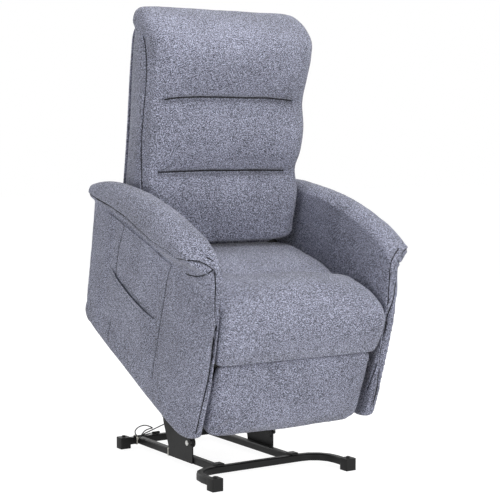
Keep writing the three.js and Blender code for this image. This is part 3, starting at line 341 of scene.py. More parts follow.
def beside(piece, line, offset, lift=0.25):
    """The line of a topstitch row: offset millimetres to one side of a seam, lying on the piece."""
    tree = tree_of(piece)
    room = to_room(lay_on(piece, line))
    out = []
    for p, t in zip(room, np.gradient(room, axis=0)):
        where, normal, _, _ = tree.find_nearest(Vector(p))
        side = Vector(t).cross(normal)
        if side.length > 0:
            side.normalize()
        out.append(where + side * offset / 1000)
    return lay_on(piece, to_seat(np.array(out)), lift)


def across(line, side, home):
    """The line as it is on its own side of the chair, or mirrored to the other."""
    return np.asarray(line) * (1 if side == home else -1, 1, 1)


def press(piece, lines, width, depth, rise=0.0, rise_at=6.0, rise_width=3.0):
    """Sinks a seam into the piece along the lines, and raises the cloth beside it."""
    far = reach_to(lines, to_seat(points_of(piece)))
    sink = -depth * np.exp(-(far / width) ** 2)
    sink += rise * np.exp(-((far - rise_at) / rise_width) ** 2)
    swell(piece, sink)


def ripple(piece, size, height, seed=0.0, where=None):
    """Soft uneven swell, as wadding has under cloth. Size and height are in millimetres."""
    room = points_of(piece)
    wave = np.array([noise.noise(Vector(p) * (1000 / size) + Vector((seed, seed, seed)))
                     for p in room])
    if where is not None:
        wave = wave * where(to_seat(room))
    swell(piece, wave * height)


def stuff(piece, held, cell, pressure, cap):
    """Fills a sewn cover by cloth simulation: pressure swells it where held(seat points) is
    below 1, and no point moves further than cap millimetres."""
    remesh(piece, cell)
    start = points_of(piece)
    hold = np.clip(held(to_seat(start)), 0, 1)
    sewn = piece.vertex_groups.new(name="Sewn")
    for level in np.unique(np.round(hold, 1)):
        if level > 0:
            chosen = np.nonzero(np.round(hold, 1) == level)[0]
            sewn.add([int(i) for i in chosen], float(level), "REPLACE")
    cloth = piece.modifiers.new("Cloth", "CLOTH")
    cloth.settings.vertex_group_mass = "Sewn"
    for name, value in (("quality", 5), ("mass", 0.3), ("tension_stiffness", CLOTH_STIFFNESS),
                        ("compression_stiffness", CLOTH_STIFFNESS),
                        ("shear_stiffness", CLOTH_STIFFNESS / 2), ("bending_stiffness", 0.6),
                        ("use_pressure", True), ("uniform_pressure_force", pressure)):
        setattr(cloth.settings, name, value)
    cloth.settings.effector_weights.gravity = 0
    cloth.collision_settings.use_collision = False
    cloth.collision_settings.use_self_collision = False
    cloth.point_cache.frame_start, cloth.point_cache.frame_end = 1, CLOTH_FRAMES
    for number in range(1, CLOTH_FRAMES + 1):
        bpy.context.scene.frame_set(number)
    graph = bpy.context.evaluated_depsgraph_get()
    swollen = points_of(piece.evaluated_get(graph))
    piece.modifiers.clear()
    piece.vertex_groups.clear()
    bpy.context.scene.frame_set(1)
    moved = swollen - start
    length = np.linalg.norm(moved, axis=1)[:, None] * 1000
    limited = cap * np.tanh(length / cap)
    moved = moved * limited / np.maximum(length, 1e-9)
    set_points(piece, start + moved * (1 - hold ** 4)[:, None])
    refine(piece)
    even = piece.modifiers.new("Even", "SMOOTH")
    even.factor, even.iterations = 0.5, 3
    return settle(piece)


def keep_in(piece, low, high):
    """Holds the piece inside a box in seat coordinates, where its neighbours stand."""
    p = to_seat(points_of(piece))
    set_points(piece, to_room(np.minimum(np.maximum(p, low), high)))


def upholster(piece, body, fill, *nodes):
    piece.data.materials.clear()
    piece.data.materials.append(finish("fabric"))
    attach(piece, body)
    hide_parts(*nodes)


# ------------------------------------------------------------------ finishes
def both_ways(operation):
    """A Math node as an operator and as its reflected form."""
    return (lambda self, other: self.math(operation, self, other),
            lambda self, other: self.math(operation, other, self))


class Signal:
    """A shader socket that takes part in sums as a number does."""

    def __init__(self, tree, socket):
        self.tree, self.socket = tree, socket

    def math(self, operation, *terms):
        node = self.tree.nodes.new("ShaderNodeMath")
        node.operation = operation
        for slot, term in zip(node.inputs, terms):
            plug(self.tree, slot, term)
        return Signal(self.tree, node.outputs[0])

    __add__, __radd__ = both_ways("ADD")
    __sub__, __rsub__ = both_ways("SUBTRACT")
    __mul__, __rmul__ = both_ways("MULTIPLY")
    __pow__, __rpow__ = both_ways("POWER")

    def sine(self):
        return self.math("SINE", self)

    def size(self):
        return self.math("ABSOLUTE", self)

    def most(self, other):
        return self.math("MAXIMUM", self, other)


def plug(tree, slot, value):
    """A link from a Signal, or a plain value, into a node's input."""
    if isinstance(value, Signal):
        tree.links.new(value.socket, slot)
    else:
        slot.default_value = value


class Finish:
    """A material being built, or the nodes of another owner."""

    def __init__(self, name, owner=None):
        self.owner = owner or bpy.data.materials.new(name)
        self.owner.use_nodes = True
        self.tree = self.owner.node_tree
        self.tree.nodes.clear()

    def node(self, kind, settings=None, inputs=None, output=0):
        """A node of any type: its settings are set first, then its inputs. Gives its output, or a
        list of them where output is a tuple."""
        node = self.tree.nodes.new(kind)
        for key, value in (settings or {}).items():
            if key == "stops":
                ramp = node.color_ramp.elements
                while len(ramp) < len(value):
                    ramp.new(0.5)
                for stop, (place, colour) in zip(ramp, value):
                    stop.position = place
                    stop.color = (*colour, 1)
            else:
                setattr(node, key, value)
        for key, value in (inputs or {}).items():
            plug(self.tree, node.inputs[key], value)
        if isinstance(output, tuple):
            return [Signal(self.tree, node.outputs[key]) for key in output]
        return Signal(self.tree, node.outputs[output]) if node.outputs else None

    def place(self, turn=0.0, scale=(1, 1, 1)):
        """Object coordinates, turned about X and stretched."""
        at = self.node("ShaderNodeTexCoord", output="Object")
        return self.node("ShaderNodeMapping", {"vector_type": "POINT"},
                         {"Vector": at, "Rotation": (turn, 0, 0), "Scale": scale})

    def split(self, vector):
        return self.node("ShaderNodeSeparateXYZ", {}, {0: vector}, output=(0, 1, 2))

    def noise(self, at, scale, detail=2.0, roughness=0.5):
        return self.node("ShaderNodeTexNoise", {"noise_dimensions": "3D"},
                         {"Vector": at, "Scale": scale, "Detail": detail, "Roughness": roughness})

    def ramp(self, factor, *stops):
        return self.node("ShaderNodeValToRGB", {"stops": stops}, {"Fac": factor})

    def mix(self, factor, first, second):
        """A mix of two colours given as triples, or as signals."""
        first, second = ((*c, 1) if isinstance(c, tuple) else c for c in (first, second))
        return self.node("ShaderNodeMix", {"data_type": "RGBA"},
                         {0: factor, 6: first, 7: second}, output=2)

    def bump(self, height, distance, strength=1.0, under=None):
        inputs = {"Height": height, "Distance": distance, "Strength": strength}
        if under is not None:
            inputs["Normal"] = under
        return self.node("ShaderNodeBump", {}, inputs)

    def surface(self, **inputs):
        """The shader itself and the material output."""
        named = {key.replace("_", " "): value for key, value in inputs.items()}
        shader = self.node("ShaderNodeBsdfPrincipled", {}, named)
        self.node("ShaderNodeOutputMaterial", {}, {"Surface": shader})
        return self.owner


def colour(*levels):
    """Screen levels from 0 to 255 as the linear colour that a shader takes."""
    return tuple((v / 255 / 12.92) if v <= 10 else ((v / 255 + 0.055) / 1.055) ** 2.4
                 for v in levels)


def shade(rgb, factor):
    return tuple(min(1.0, c * factor) for c in rgb)


def fabric_finish(settings):
    """Blue-grey melange: pale and dark yarns spun together, in a close plain weave."""
    f = Finish("Melange fabric")
    at = f.place(turn=-TILT)
    x, y, z = f.split(at)
    nx, ny, nz = (n.size() for n in f.split(f.node("ShaderNodeTexCoord", output="Normal")))
    sway = f.noise(at, 90, 2.0) * 5.0
    count = 2 * math.pi / (settings.yarn_pitch * 2)
    rows = [((axis * count) + sway).sine() for axis in (x, y, z)]
    weave = (nx ** 2 * rows[1] * rows[2] + ny ** 2 * rows[0] * rows[2]
             + nz ** 2 * rows[0] * rows[1])
    flecks = f.noise(at, 420, 2.0, 0.75)
    slubs = f.noise(f.place(turn=-TILT, scale=(1.0, 1.0, 1.8)), 230, 2.0, 0.6)
    fine = f.noise(at, 1100, 1.0)
    broad = f.noise(at, 7, 2.0)
    tone = flecks * 0.68 + slubs * 0.32 + weave * 0.02 + (fine - 0.5) * 0.3 + (broad - 0.5) * 0.06
    base = tuple(settings.fabric_colour)
    cloth = f.ramp(tone, *((place, shade(base, level)) for place, level in (
        (0.39, 0.12), (0.455, 0.45), (0.50, 0.95), (0.545, 1.8), (0.61, 3.2))))
    height = weave * 0.4 + flecks * 1.1 + fine * 0.5
    soft = f.bump(broad, 0.004, 0.5)
    return f.surface(Base_Color=cloth, Roughness=flecks * 0.1 + 0.86,
                     Normal=f.bump(height, 0.0011, 0.55, soft), Sheen_Weight=0.2,
                     Sheen_Roughness=0.45, Specular_IOR_Level=0.2)


def thread_finish(settings):
    """The upholstery thread, a shade darker than the cloth."""
    f = Finish("Sewing thread")
    twist = f.noise(f.place(), 1500, 1.0)
    base = shade(tuple(settings.fabric_colour), 0.62)
    return f.surface(Base_Color=f.mix(twist, shade(base, 0.75), shade(base, 1.3)),
                     Roughness=0.7, Normal=f.bump(twist, 0.0003, 0.6))


def seam_shade_finish(settings):
    """Painted shade for the seams: the cloth darkened to near black, standing for the shade deep in
    a seam, where little light gets in.
    """
    f = Finish("Painted seam shade")
    # Painted shade: the cloth's colour cut to 7 per cent, with a little random tone.
    dark = shade(tuple(settings.fabric_colour), 0.07)
    tone = f.noise(f.place(), 400, 2.0)
    return f.surface(Base_Color=f.mix(tone, shade(dark, 0.7), shade(dark, 1.4)), Roughness=0.95)


def coated_steel_finish():
    """Satin black powder coat with a fine orange peel, uneven gloss and a few scuffs."""
    f = Finish("Black powder coat")
    at = f.place()
    peel = f.noise(at, 900, 2.0)
    haze = f.noise(at, 24, 4.0, 0.65)
    scuff = f.noise(f.place(scale=(1, 6, 6)), 60, 5.0, 0.7)
    worn = f.ramp(scuff, (0.66, (0, 0, 0)), (0.74, (1, 1, 1)))
    coat = f.mix(haze, (0.0030, 0.0030, 0.0032), (0.0075, 0.0075, 0.008))
    return f.surface(Base_Color=f.mix(worn, coat, (0.03, 0.03, 0.031)), Metallic=0.0,
                     Roughness=haze * 0.22 + 0.36, Specular_IOR_Level=0.22,
                     Normal=f.bump(peel, 0.0003, 0.35))


def zinc_finish():
    """Bright zinc plate with a faint spangle."""
    f = Finish("Zinc plate")
    at = f.place()
    spangle = f.node("ShaderNodeTexVoronoi", {"feature": "F1"}, {"Vector": at, "Scale": 260.0})
    haze = f.noise(at, 60, 3.0)
    tint = f.mix(haze, (0.42, 0.42, 0.41), (0.66, 0.66, 0.64))
    return f.surface(Base_Color=tint, Metallic=0.95, Roughness=spangle * 0.25 + 0.24,
                     Normal=f.bump(haze, 0.0002, 0.3))


def plastic_finish(name, dark, pale, roughness=0.42, gloss=0.5):
    """Moulded plastic with a fine spark-eroded grain."""
    f = Finish(name)
    at = f.place()
    grain = f.noise(at, 1400, 2.0)
    haze = f.noise(at, 30, 3.0)
    return f.surface(Base_Color=f.mix(haze, dark, pale), Roughness=haze * 0.15 + roughness,
                     Normal=f.bump(grain, 0.00025, 0.4), Specular_IOR_Level=gloss)


def metal_finish(name, dark, pale, roughness):
    """Drawn or ground bar: fine lines that run with it."""
    f = Finish(name)
    lines = f.noise(f.place(scale=(30, 1, 30)), 25, 3.0, 0.6)
    return f.surface(Base_Color=f.mix(lines, dark, pale), Metallic=1.0,
                     Roughness=lines * 0.18 + roughness, Normal=f.bump(lines, 0.0001, 0.3))


def timber_finish():
    """Planed pine rail, its grain along the rail."""
    f = Finish("Planed timber")
    rings = f.noise(f.place(turn=-TILT, scale=(1.2, 14, 14)), 9, 4.0, 0.6)
    fibre = f.noise(f.place(turn=-TILT, scale=(4, 90, 90)), 8, 2.0)
    tone = rings * 0.75 + fibre * 0.25
    wood = f.ramp(tone, (0.30, colour(150, 108, 66)), (0.5, colour(196, 154, 104)),
                  (0.7, colour(217, 180, 131)))
    return f.surface(Base_Color=wood, Roughness=fibre * 0.2 + 0.55,
                     Normal=f.bump(tone, 0.0004, 0.4))


FINISHES = {}


def finish(name):
    """A finish by its slot name, made once."""
    if name not in FINISHES:
        settings = bpy.context.scene.recliner
        makers = {
            "fabric": (fabric_finish, settings),
            "thread": (thread_finish, settings),
            "seam_shade": (seam_shade_finish, settings),
            "black_steel": (coated_steel_finish,),
            "zinc": (zinc_finish,),
            "black_plastic": (plastic_finish, "Black moulded plastic", (0.003,) * 3,
                              (0.008,) * 3, 0.5, 0.25),
            "motor_case": (plastic_finish, "Gearbox housing", (0.014,) * 3, (0.030,) * 3, 0.38),
            "aluminium": (metal_finish, "Drawn aluminium", (0.5,) * 3, (0.72,) * 3, 0.25),
            "chrome": (metal_finish, "Ground steel rod", (0.6,) * 3, (0.8,) * 3, 0.08),
            "timber": (timber_finish,),
            "pale_tie": (plastic_finish, "Pale nylon", colour(206, 203, 192),
                         colour(228, 226, 216)),
        }
        maker, *values = makers[name]
        FINISHES[name] = maker(*values)
    return FINISHES[name]


# ------------------------------------------------------------------ settings
class RECLINER_PG_settings(bpy.types.PropertyGroup):
    """Sizes and colours of the dressed chair."""

    fabric_colour: FloatVectorProperty(
        name="Fabric colour", description="Middle tone of the melange upholstery", subtype="COLOR",
        size=3, min=0, max=1, default=colour(119, 121, 135))
    yarn_pitch: FloatProperty(
        name="Yarn pitch", description="Distance from yarn to yarn in the weave", unit="LENGTH",
        subtype="DISTANCE", default=0.0016, min=0.0005, max=0.01, precision=4)
    stitch_length: FloatProperty(
        name="Stitch length", description="Length of one topstitch", unit="LENGTH",
        subtype="DISTANCE", default=0.0036, min=0.001, max=0.02, precision=4)
    stitch_gap: FloatProperty(
        name="Stitch gap", description="Cloth between two topstitches", unit="LENGTH",
        subtype="DISTANCE", default=0.0014, min=0.0002, max=0.02, precision=4)
    thread_thickness: FloatProperty(
        name="Thread thickness", description="Thickness of the topstitch thread", unit="LENGTH",
        subtype="DISTANCE", default=0.0009, min=0.0002, max=0.005, precision=4)
    # Width of the strips of painted shade laid in the plain seams.
    seam_shade_width: FloatProperty(
        name="Seam shade width", description="Width of the dark fold in a plain seam", unit="LENGTH",
        subtype="DISTANCE", default=0.0022, min=0.0005, max=0.01, precision=4)
    welt_width: FloatProperty(
        name="Welt width", description="Thickness of the piping in the back's and the arms' edges",
        unit="LENGTH", subtype="DISTANCE", default=0.0052, min=0.001, max=0.02, precision=4)
    channel_depth: FloatProperty(
        name="Channel depth", description="How deep the back's two sewn channels are pulled in",
        unit="LENGTH", subtype="DISTANCE", default=0.020, min=0, max=0.06)
    seat_swell: FloatProperty(
        name="Seat swell", description="Most that the filling lifts the seat cover", unit="LENGTH",
        subtype="DISTANCE", default=0.022, min=0, max=0.04)
    back_swell: FloatProperty(
        name="Back swell", description="Most that the filling lifts the back cover", unit="LENGTH",
        subtype="DISTANCE", default=0.024, min=0, max=0.04)
    light_level: FloatProperty(
        name="Light level", description="Strength of the studio lamps against their normal level",
        default=1.0, min=0.1, max=3.0)


# ------------------------------------------------------------------ node groups
def node_group(name, sizes, nodes, wires, finish_input=True):
    """A Geometry Nodes group, made once. sizes gives its named inputs as (value, subtype), nodes
    gives (type, settings, inputs) under a short name, and wires lists its links as
    "from.socket > to.socket", with a number or a name for each socket."""
    if name in bpy.data.node_groups:
        return bpy.data.node_groups[name]
    tree = bpy.data.node_groups.new(name, "GeometryNodeTree")
    tree.is_modifier = True
    face = tree.interface
    face.new_socket("Geometry", in_out="INPUT", socket_type="NodeSocketGeometry")
    for label, (value, subtype) in sizes.items():
        socket = face.new_socket(label, in_out="INPUT", socket_type="NodeSocketFloat")
        socket.default_value, socket.subtype = value, subtype
    if finish_input:
        face.new_socket("Finish", in_out="INPUT", socket_type="NodeSocketMaterial")
    face.new_socket("Geometry", in_out="OUTPUT", socket_type="NodeSocketGeometry")
    made = {"in": tree.nodes.new("NodeGroupInput"), "out": tree.nodes.new("NodeGroupOutput")}
    for key, (kind, settings, inputs) in nodes.items():
        made[key] = tree.nodes.new(kind)
        for field, value in settings.items():
            setattr(made[key], field, value)
        for slot, value in inputs.items():
            made[key].inputs[slot].default_value = value
    for wire in wires:
        (source, out), (target, into) = (end.split(".") for end in wire.split(" > "))
        out, into = (int(key) if key.isdigit() else key for key in (out, into))
        tree.links.new(made[source].outputs[out], made[target].inputs[into])
    return tree


def stitch_tree():
    """Geometry nodes that lay a row of stitches along each line."""
    sizes = {"Stitch": (0.0036, "DISTANCE"), "Gap": (0.0014, "DISTANCE"),
             "Thread": (0.0009, "DISTANCE")}
    nodes = {
        "curve": ("GeometryNodeMeshToCurve", {}, {}),
        "pitch": ("ShaderNodeMath", {"operation": "ADD"}, {}),
        "even": ("GeometryNodeResampleCurve", {"mode": "LENGTH"}, {}),
        "tangent": ("GeometryNodeInputTangent", {}, {}),
        "turn": ("FunctionNodeAlignRotationToVector", {"axis": "X"}, {}),
        "bead": ("GeometryNodeMeshUVSphere", {}, {"Segments": 6, "Rings": 4, "Radius": 0.5}),
        "size": ("ShaderNodeCombineXYZ", {}, {}),
        "place": ("GeometryNodeInstanceOnPoints", {}, {}),
        "real": ("GeometryNodeRealizeInstances", {}, {}),
        "smooth": ("GeometryNodeSetShadeSmooth", {}, {}),
        "paint": ("GeometryNodeSetMaterial", {}, {}),
    }
    return node_group("Stitch rows", sizes, nodes, (
        "in.0 > curve.0", "in.1 > pitch.0", "in.2 > pitch.1", "curve.0 > even.Curve",
        "pitch.0 > even.Length", "even.0 > place.Points", "tangent.0 > turn.Vector",
        "turn.0 > place.Rotation", "bead.0 > place.Instance", "in.1 > size.X", "in.3 > size.Y",
        "in.3 > size.Z", "size.0 > place.Scale", "place.0 > real.0", "real.0 > smooth.0",
        "smooth.0 > paint.Geometry", "in.4 > paint.Material", "paint.0 > out.0"))


def cord_tree():
    """Geometry nodes that lay a tube along each seam: a welt of cloth, or a strip of painted seam
    shade.
    """
    sizes = {"Step": (0.004, "DISTANCE"), "Width": (0.0022, "DISTANCE")}
    nodes = {
        "curve": ("GeometryNodeMeshToCurve", {}, {}),
        "even": ("GeometryNodeResampleCurve", {"mode": "LENGTH"}, {}),
        "half": ("ShaderNodeMath", {"operation": "MULTIPLY"}, {1: 0.5}),
        "ring": ("GeometryNodeCurvePrimitiveCircle", {}, {"Resolution": 6}),
        "pipe": ("GeometryNodeCurveToMesh", {}, {"Fill Caps": True}),
        "real": ("GeometryNodeRealizeInstances", {}, {}),
        "smooth": ("GeometryNodeSetShadeSmooth", {}, {}),
        "paint": ("GeometryNodeSetMaterial", {}, {}),
    }
    return node_group("Seam welts and shade strips", sizes, nodes, (
        "in.0 > curve.0", "curve.0 > even.Curve", "in.1 > even.Length", "in.2 > half.0",
        "half.0 > ring.Radius", "even.0 > pipe.Curve", "ring.0 > pipe.Profile Curve",
        "pipe.0 > real.0", "real.0 > smooth.0", "smooth.0 > paint.Geometry",
        "in.3 > paint.Material", "paint.0 > out.0"))


def rivet_tree():
    """Geometry nodes that set a domed rivet on a washer at each point, facing across the chair."""
    nodes = {
        "washer": ("GeometryNodeMeshCylinder", {}, {"Vertices": 20, "Depth": 0.0016}),
        "half": ("ShaderNodeMath", {"operation": "MULTIPLY"}, {1: 0.58}),
        "dome": ("GeometryNodeMeshUVSphere", {}, {"Segments": 16, "Rings": 8}),
        "flat": ("GeometryNodeTransform", {}, {"Scale": (1, 1, 0.62)}),
        "both": ("GeometryNodeJoinGeometry", {}, {}),
        "place": ("GeometryNodeInstanceOnPoints", {}, {"Rotation": (0, math.pi / 2, 0)}),
        "real": ("GeometryNodeRealizeInstances", {}, {}),
        "paint": ("GeometryNodeSetMaterial", {}, {}),
    }
    return node_group("Pivot rivets", {"Washer radius": (0.008, "DISTANCE")}, nodes, (
        "in.1 > washer.Radius", "in.1 > half.0", "half.0 > dome.Radius", "dome.0 > flat.0",
        "washer.0 > both.0", "flat.0 > both.0", "in.0 > place.Points", "both.0 > place.Instance",
        "place.0 > real.0", "real.0 > paint.Geometry", "in.2 > paint.Material",
        "paint.0 > out.0"))


def edge_tree():
    """Geometry nodes that weld a rigid piece's facets and leave only its true edges sharp."""
    nodes = {
        "weld": ("GeometryNodeMergeByDistance", {}, {"Distance": 2e-5}),
        "angle": ("GeometryNodeInputMeshEdgeAngle", {}, {}),
        "blunt": ("FunctionNodeCompare", {"operation": "LESS_THAN"}, {}),
        "faces": ("GeometryNodeSetShadeSmooth", {"domain": "FACE"}, {}),
        "edges": ("GeometryNodeSetShadeSmooth", {"domain": "EDGE"}, {}),
    }
    return node_group("Welded facets", {"Sharp above": (math.radians(34), "ANGLE")}, nodes, (
        "in.0 > weld.0", "weld.0 > faces.0", "faces.0 > edges.0", "angle.Unsigned Angle > blunt.0",
        "in.1 > blunt.1", "blunt.0 > edges.Shade Smooth", "edges.0 > out.0"), finish_input=False)


def apply_group(piece, tree, values):
    """Runs a node group on the piece and turns what it makes into the piece's mesh."""
    rule = piece.modifiers.new(tree.name, "NODES")
    rule.node_group = tree
    for item in tree.interface.items_tree:
        if item.in_out == "INPUT" and item.name in values:
            rule[item.identifier] = values[item.name]
    return settle(piece)


def along(name, rows, tree, values, body):
    """A piece that a node group makes along lines of seat points."""
    points, edges = [], []
    for row in rows:
        start = len(points)
        points.extend(tuple(p) for p in to_room(row))
        edges.extend((start + i, start + i + 1) for i in range(len(row) - 1))
    mesh = bpy.data.meshes.new(name)
    mesh.from_pydata(points, edges, [])
    piece = apply_group(link_new(name, mesh), tree, values)
    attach(piece, body)


def seam_shade(name, lines, body, width):
    """Strips of painted shade in the seams, along lines of seat points."""
    along(name, lines, cord_tree(), {"Width": width, "Finish": finish("seam_shade")}, body)


def piping(name, lines, body, settings):
    """Welts: the cloth wrapped round a cord and sewn into the seams, along lines of seat points."""
    values = {"Width": settings.welt_width, "Finish": finish("fabric")}
    along(name, lines, cord_tree(), values, body)


def sew(name, rows, body, settings):
    """One piece of topstitching from rows of seat points, all on one body."""
    values = {"Stitch": settings.stitch_length, "Gap": settings.stitch_gap,
              "Thread": settings.thread_thickness, "Finish": finish("thread")}
    along(name, rows, stitch_tree(), values, body)


def round_bends(route, per_span=8):
    """A smooth line through every point of a route, spaced by the root of the chord."""
    ends = np.vstack([2 * route[0] - route[1], route, 2 * route[-1] - route[-2]])
    out = []
    for i in range(len(route) - 1):
        p = ends[i:i + 4]
        gaps = np.maximum(np.linalg.norm(np.diff(p, axis=0), axis=1) ** 0.5, 1e-6)
        t = np.concatenate([[0], np.cumsum(gaps)])
        for s in np.linspace(t[1], t[2], per_span, endpoint=i == len(route) - 2):
            a = [((t[k + 1] - s) * p[k] + (s - t[k]) * p[k + 1]) / (t[k + 1] - t[k])
                 for k in range(3)]
            b = [((t[k + 2] - s) * a[k] + (s - t[k]) * a[k + 1]) / (t[k + 2] - t[k])
                 for k in range(2)]
            out.append(((t[2] - s) * b[0] + (s - t[1]) * b[1]) / (t[2] - t[1]))
    return np.array(out)


# ------------------------------------------------------------------ pieces
class Step(bpy.types.Operator):
    """Common ground of the steps that dress the chair."""

    bl_options = {"REGISTER", "UNDO"}

    def execute(self, context):
        self.build(context.scene.recliner)
        return {"FINISHED"}


class RECLINER_OT_camera(Step):
    """Sets up the camera in front of the chair, to the sitter's right"""

    bl_idname = "recliner.camera"
    bl_label = "Camera"

    def build(self, settings):
        lens = bpy.data.cameras.new("Camera")
        lens.sensor_width = 36.0
        lens.lens = SIGHT_LENGTH / FRAME_SIZE * lens.sensor_width
        lens.clip_end = 60
        camera = link_new("Camera", lens)
        camera.location = CAMERA_AT
        camera.rotation_euler = CAMERA_TURN
        bpy.context.scene.camera = camera


class RECLINER_OT_lead(Step):
    """Lays the lift motor's lead out beside the linkage and along the rear tube"""

    bl_idname = "recliner.lead"
    bl_label = "Motor lead"

    def build(self, settings):
        route = np.array([
            (-50.4, 590, 80), (-75, 596, 70), (-105, 612, 54), (-128, 621, 43), (-146, 611, 38),
            (-157, 589, 43), (-167, 562, 57), (-174, 528, 75), (-178, 492, 88), (-182, 468, 95),
            (-188, 472, 99), (-188, 500, 98), (-186, 530, 91), (-184, 560, 79), (-181, 581, 65),
            (-174, 592, 54), (-164, 604, 46), (-156, 622, 40), (-154, 637, 36),
            *((x, 645, LEAD_ON_TUBE) for x in (-150, -138, -110)), (-92, 645, 36.8),
            (-84, 645, 36.8)], float)
        line = round_bends(route) / 1000 + (0, FRONT_Y, 0)
        curve = bpy.data.curves.new("motor_lead_flex", "CURVE")
        curve.dimensions = "3D"
        curve.bevel_depth = LEAD_DIAMETER / 2
        curve.bevel_resolution = 3
        spline = curve.splines.new("POLY")
        spline.points.add(len(line) - 1)
        for point, p in zip(spline.points, line):
            point.co = (*p, 1)
        lead = link_new("motor_lead_flex", curve)
        curve.materials.append(finish("black_plastic"))
        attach(lead, "base")
        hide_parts("motor_lead")


def dress_rigid(names, slot, edge):
    """Keeps rigid nodes, gives them their finish, welds their facets and breaks their edges. The
    names stand in one line, with SIDE for right and left."""
    for name in names.split():
        for side in SIDE_NAMES.values() if "SIDE" in name else ("",):
            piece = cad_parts[name.replace("SIDE", side)]
            piece.data.materials.clear()
            piece.data.materials.append(finish(slot))
            rule = piece.modifiers.new("Welded facets", "NODES")
            rule.node_group = edge_tree()
            if edge:
                broken = piece.modifiers.new("Broken edges", "BEVEL")
                broken.width, broken.segments = edge, 2
                broken.limit_method, broken.angle_limit = "ANGLE", math.radians(40)
                broken.harden_normals = True


class RECLINER_OT_floor_frame(Step):
    """Finishes the floor frame, its feet, brackets and ties"""

    bl_idname = "recliner.floor_frame"
    bl_label = "Floor frame"

    def build(self, settings):
        dress_rigid("front_tube rear_tube SIDE_rail SIDE_base_bracket", "black_steel", 0.0008)
        dress_rigid("SIDE_front_foot SIDE_rear_foot", "black_plastic", 0.0016)
        dress_rigid("lead_plug", "black_plastic", 0.0008)
        dress_rigid("rear_tube_tie rail_tie", "pale_tie", 0.0003)
        self.pivot_rivets()

    def pivot_rivets(self):
        """Sets rivet heads on the base brackets' outer faces, at each side's two lift pivots."""
        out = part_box("left_base_bracket")[1].x * 1000 + 0.6
        pivots = [(side * out, y, z) for side in (RIGHT, LEFT) for y, z in LIFT_PIVOTS]
        mesh = bpy.data.meshes.new("pivot_rivets")
        mesh.from_pydata([tuple(np.array(p) / 1000 + (0, FRONT_Y, 0)) for p in pivots], [], [])
        rivets = apply_group(link_new("pivot_rivets", mesh), rivet_tree(),
                             {"Washer radius": 0.0078, "Finish": finish("zinc")})
        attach(rivets, "base")


class RECLINER_OT_lift(Step):
    """Finishes the lift linkage and its actuator"""

    bl_idname = "recliner.lift"
    bl_label = "Lift linkage"

    def build(self, settings):
        dress_rigid("SIDE_front_lift_link SIDE_lift_plate lift_link_tube lift_head_tube",
                    "black_steel", 0.0007)
        dress_rigid("SIDE_rear_lift_link", "zinc", 0.0007)
        dress_rigid("lift_gearbox", "motor_case", 0.0012)
        dress_rigid("lift_motor", "zinc", 0.0012)
        dress_rigid("lift_outer_tube", "aluminium", 0.0006)
        dress_rigid("lift_rod", "chrome", 0.0005)


class RECLINER_OT_seat_frame(Step):
    """Finishes the seat frame, its springs and the footrest and recline gear"""

    bl_idname = "recliner.seat_frame"
    bl_label = "Seat frame and recline gear"

    def build(self, settings):
        dress_rigid("seat_cross_tube_1 seat_cross_tube_2 recline_drive_tube footrest_board "
                    "back_frame SIDE_recline_plate", "black_steel", 0.0006)
        dress_rigid("front_seat_rail rear_seat_rail SIDE_seat_rail", "timber", 0.0015)
        dress_rigid("seat_spring_1 seat_spring_2 seat_spring_3 recline_motor", "zinc", 0)
        dress_rigid("SIDE_rear_footrest_link SIDE_front_footrest_link", "zinc", 0.0005)
        dress_rigid("recline_gearbox", "motor_case", 0.0012)
        dress_rigid("recline_outer_tube", "aluminium", 0.0006)
        dress_rigid("recline_rod", "chrome", 0.0005)


class RECLINER_OT_seat_cushion(Step):
    """Makes the seat cushion, with its front bolster rolled over the edge"""

    bl_idname = "recliner.seat_cushion"
    bl_label = "Seat cushion"

    def build(self, settings):
        def place(a, b, c):
            y = lerp(95, 647, ((b + 1) / 2) ** 1.25)
            lip = 1 - smooth(y, 113, 128)
            low = lerp(278, 242, lip)
            crown = (20 * (1 - np.abs(a) ** 2.2) * smooth(y, 80, 200)
                     * (1 - 0.8 * smooth(y, 420, 600)))
            past = y - crease_y(280 * a)
            dip = (16 + 10 * a) * np.exp(-(past / np.where(past < 0, 22, 70)) ** 2)
            top = seat_top(y) + crown - 10 * np.abs(a) ** 4 - 6 - dip
            level = np.where(c < 0, np.maximum(-1, 1.25 * c), c)
            return a * 281.5, y, lerp(low, top, (level + 1) / 2)

        def crease_y(x):
            return 338 - 10 * (x / 280) ** 2

        points, faces = cover((60, 60, 16), (24, 14, 3.6), place)
        cushion = make_piece("seat_cushion_cover", to_room(points), faces)
        crease = [(x, crease_y(x), 412) for x in np.linspace(-120, 280, 44)]

        def held(p):
            under = 1 - smooth(p[:, 2] - lerp(242, 278, smooth(p[:, 1], 112, 130)), 4, 24)
            rear = 0.95 * smooth(p[:, 1], 500, 630)
            seam = np.exp(-(reach_to([crease], p * (1, 1, 0) + (0, 0, 412)) / 7) ** 2)
            return np.maximum.reduce([under, rear, seam * smooth(p[:, 2], 340, 370)])

        room = (-SEAT_HALF, 86, 243.5), (SEAT_HALF, 650, 470)
        stuff(cushion, held, COVER_CELL, 4.0, settings.seat_swell * 1000)
        keep_in(cushion, *room)
        line = lay_on(cushion, crease)
        press(cushion, [line], 7, 6.0, 1.0, 15, 8)
        press(cushion, [line[len(line) // 2:]], 2.4, 3.5)
        ripple(cushion, 95, 2.0, 3.1, lambda p: smooth(p[:, 2], 300, 360))
        ripple(cushion, 28, 0.5, 7.7)
        keep_in(cushion, *room)
        upholster(cushion, "chair", 0.75, "seat_cushion")


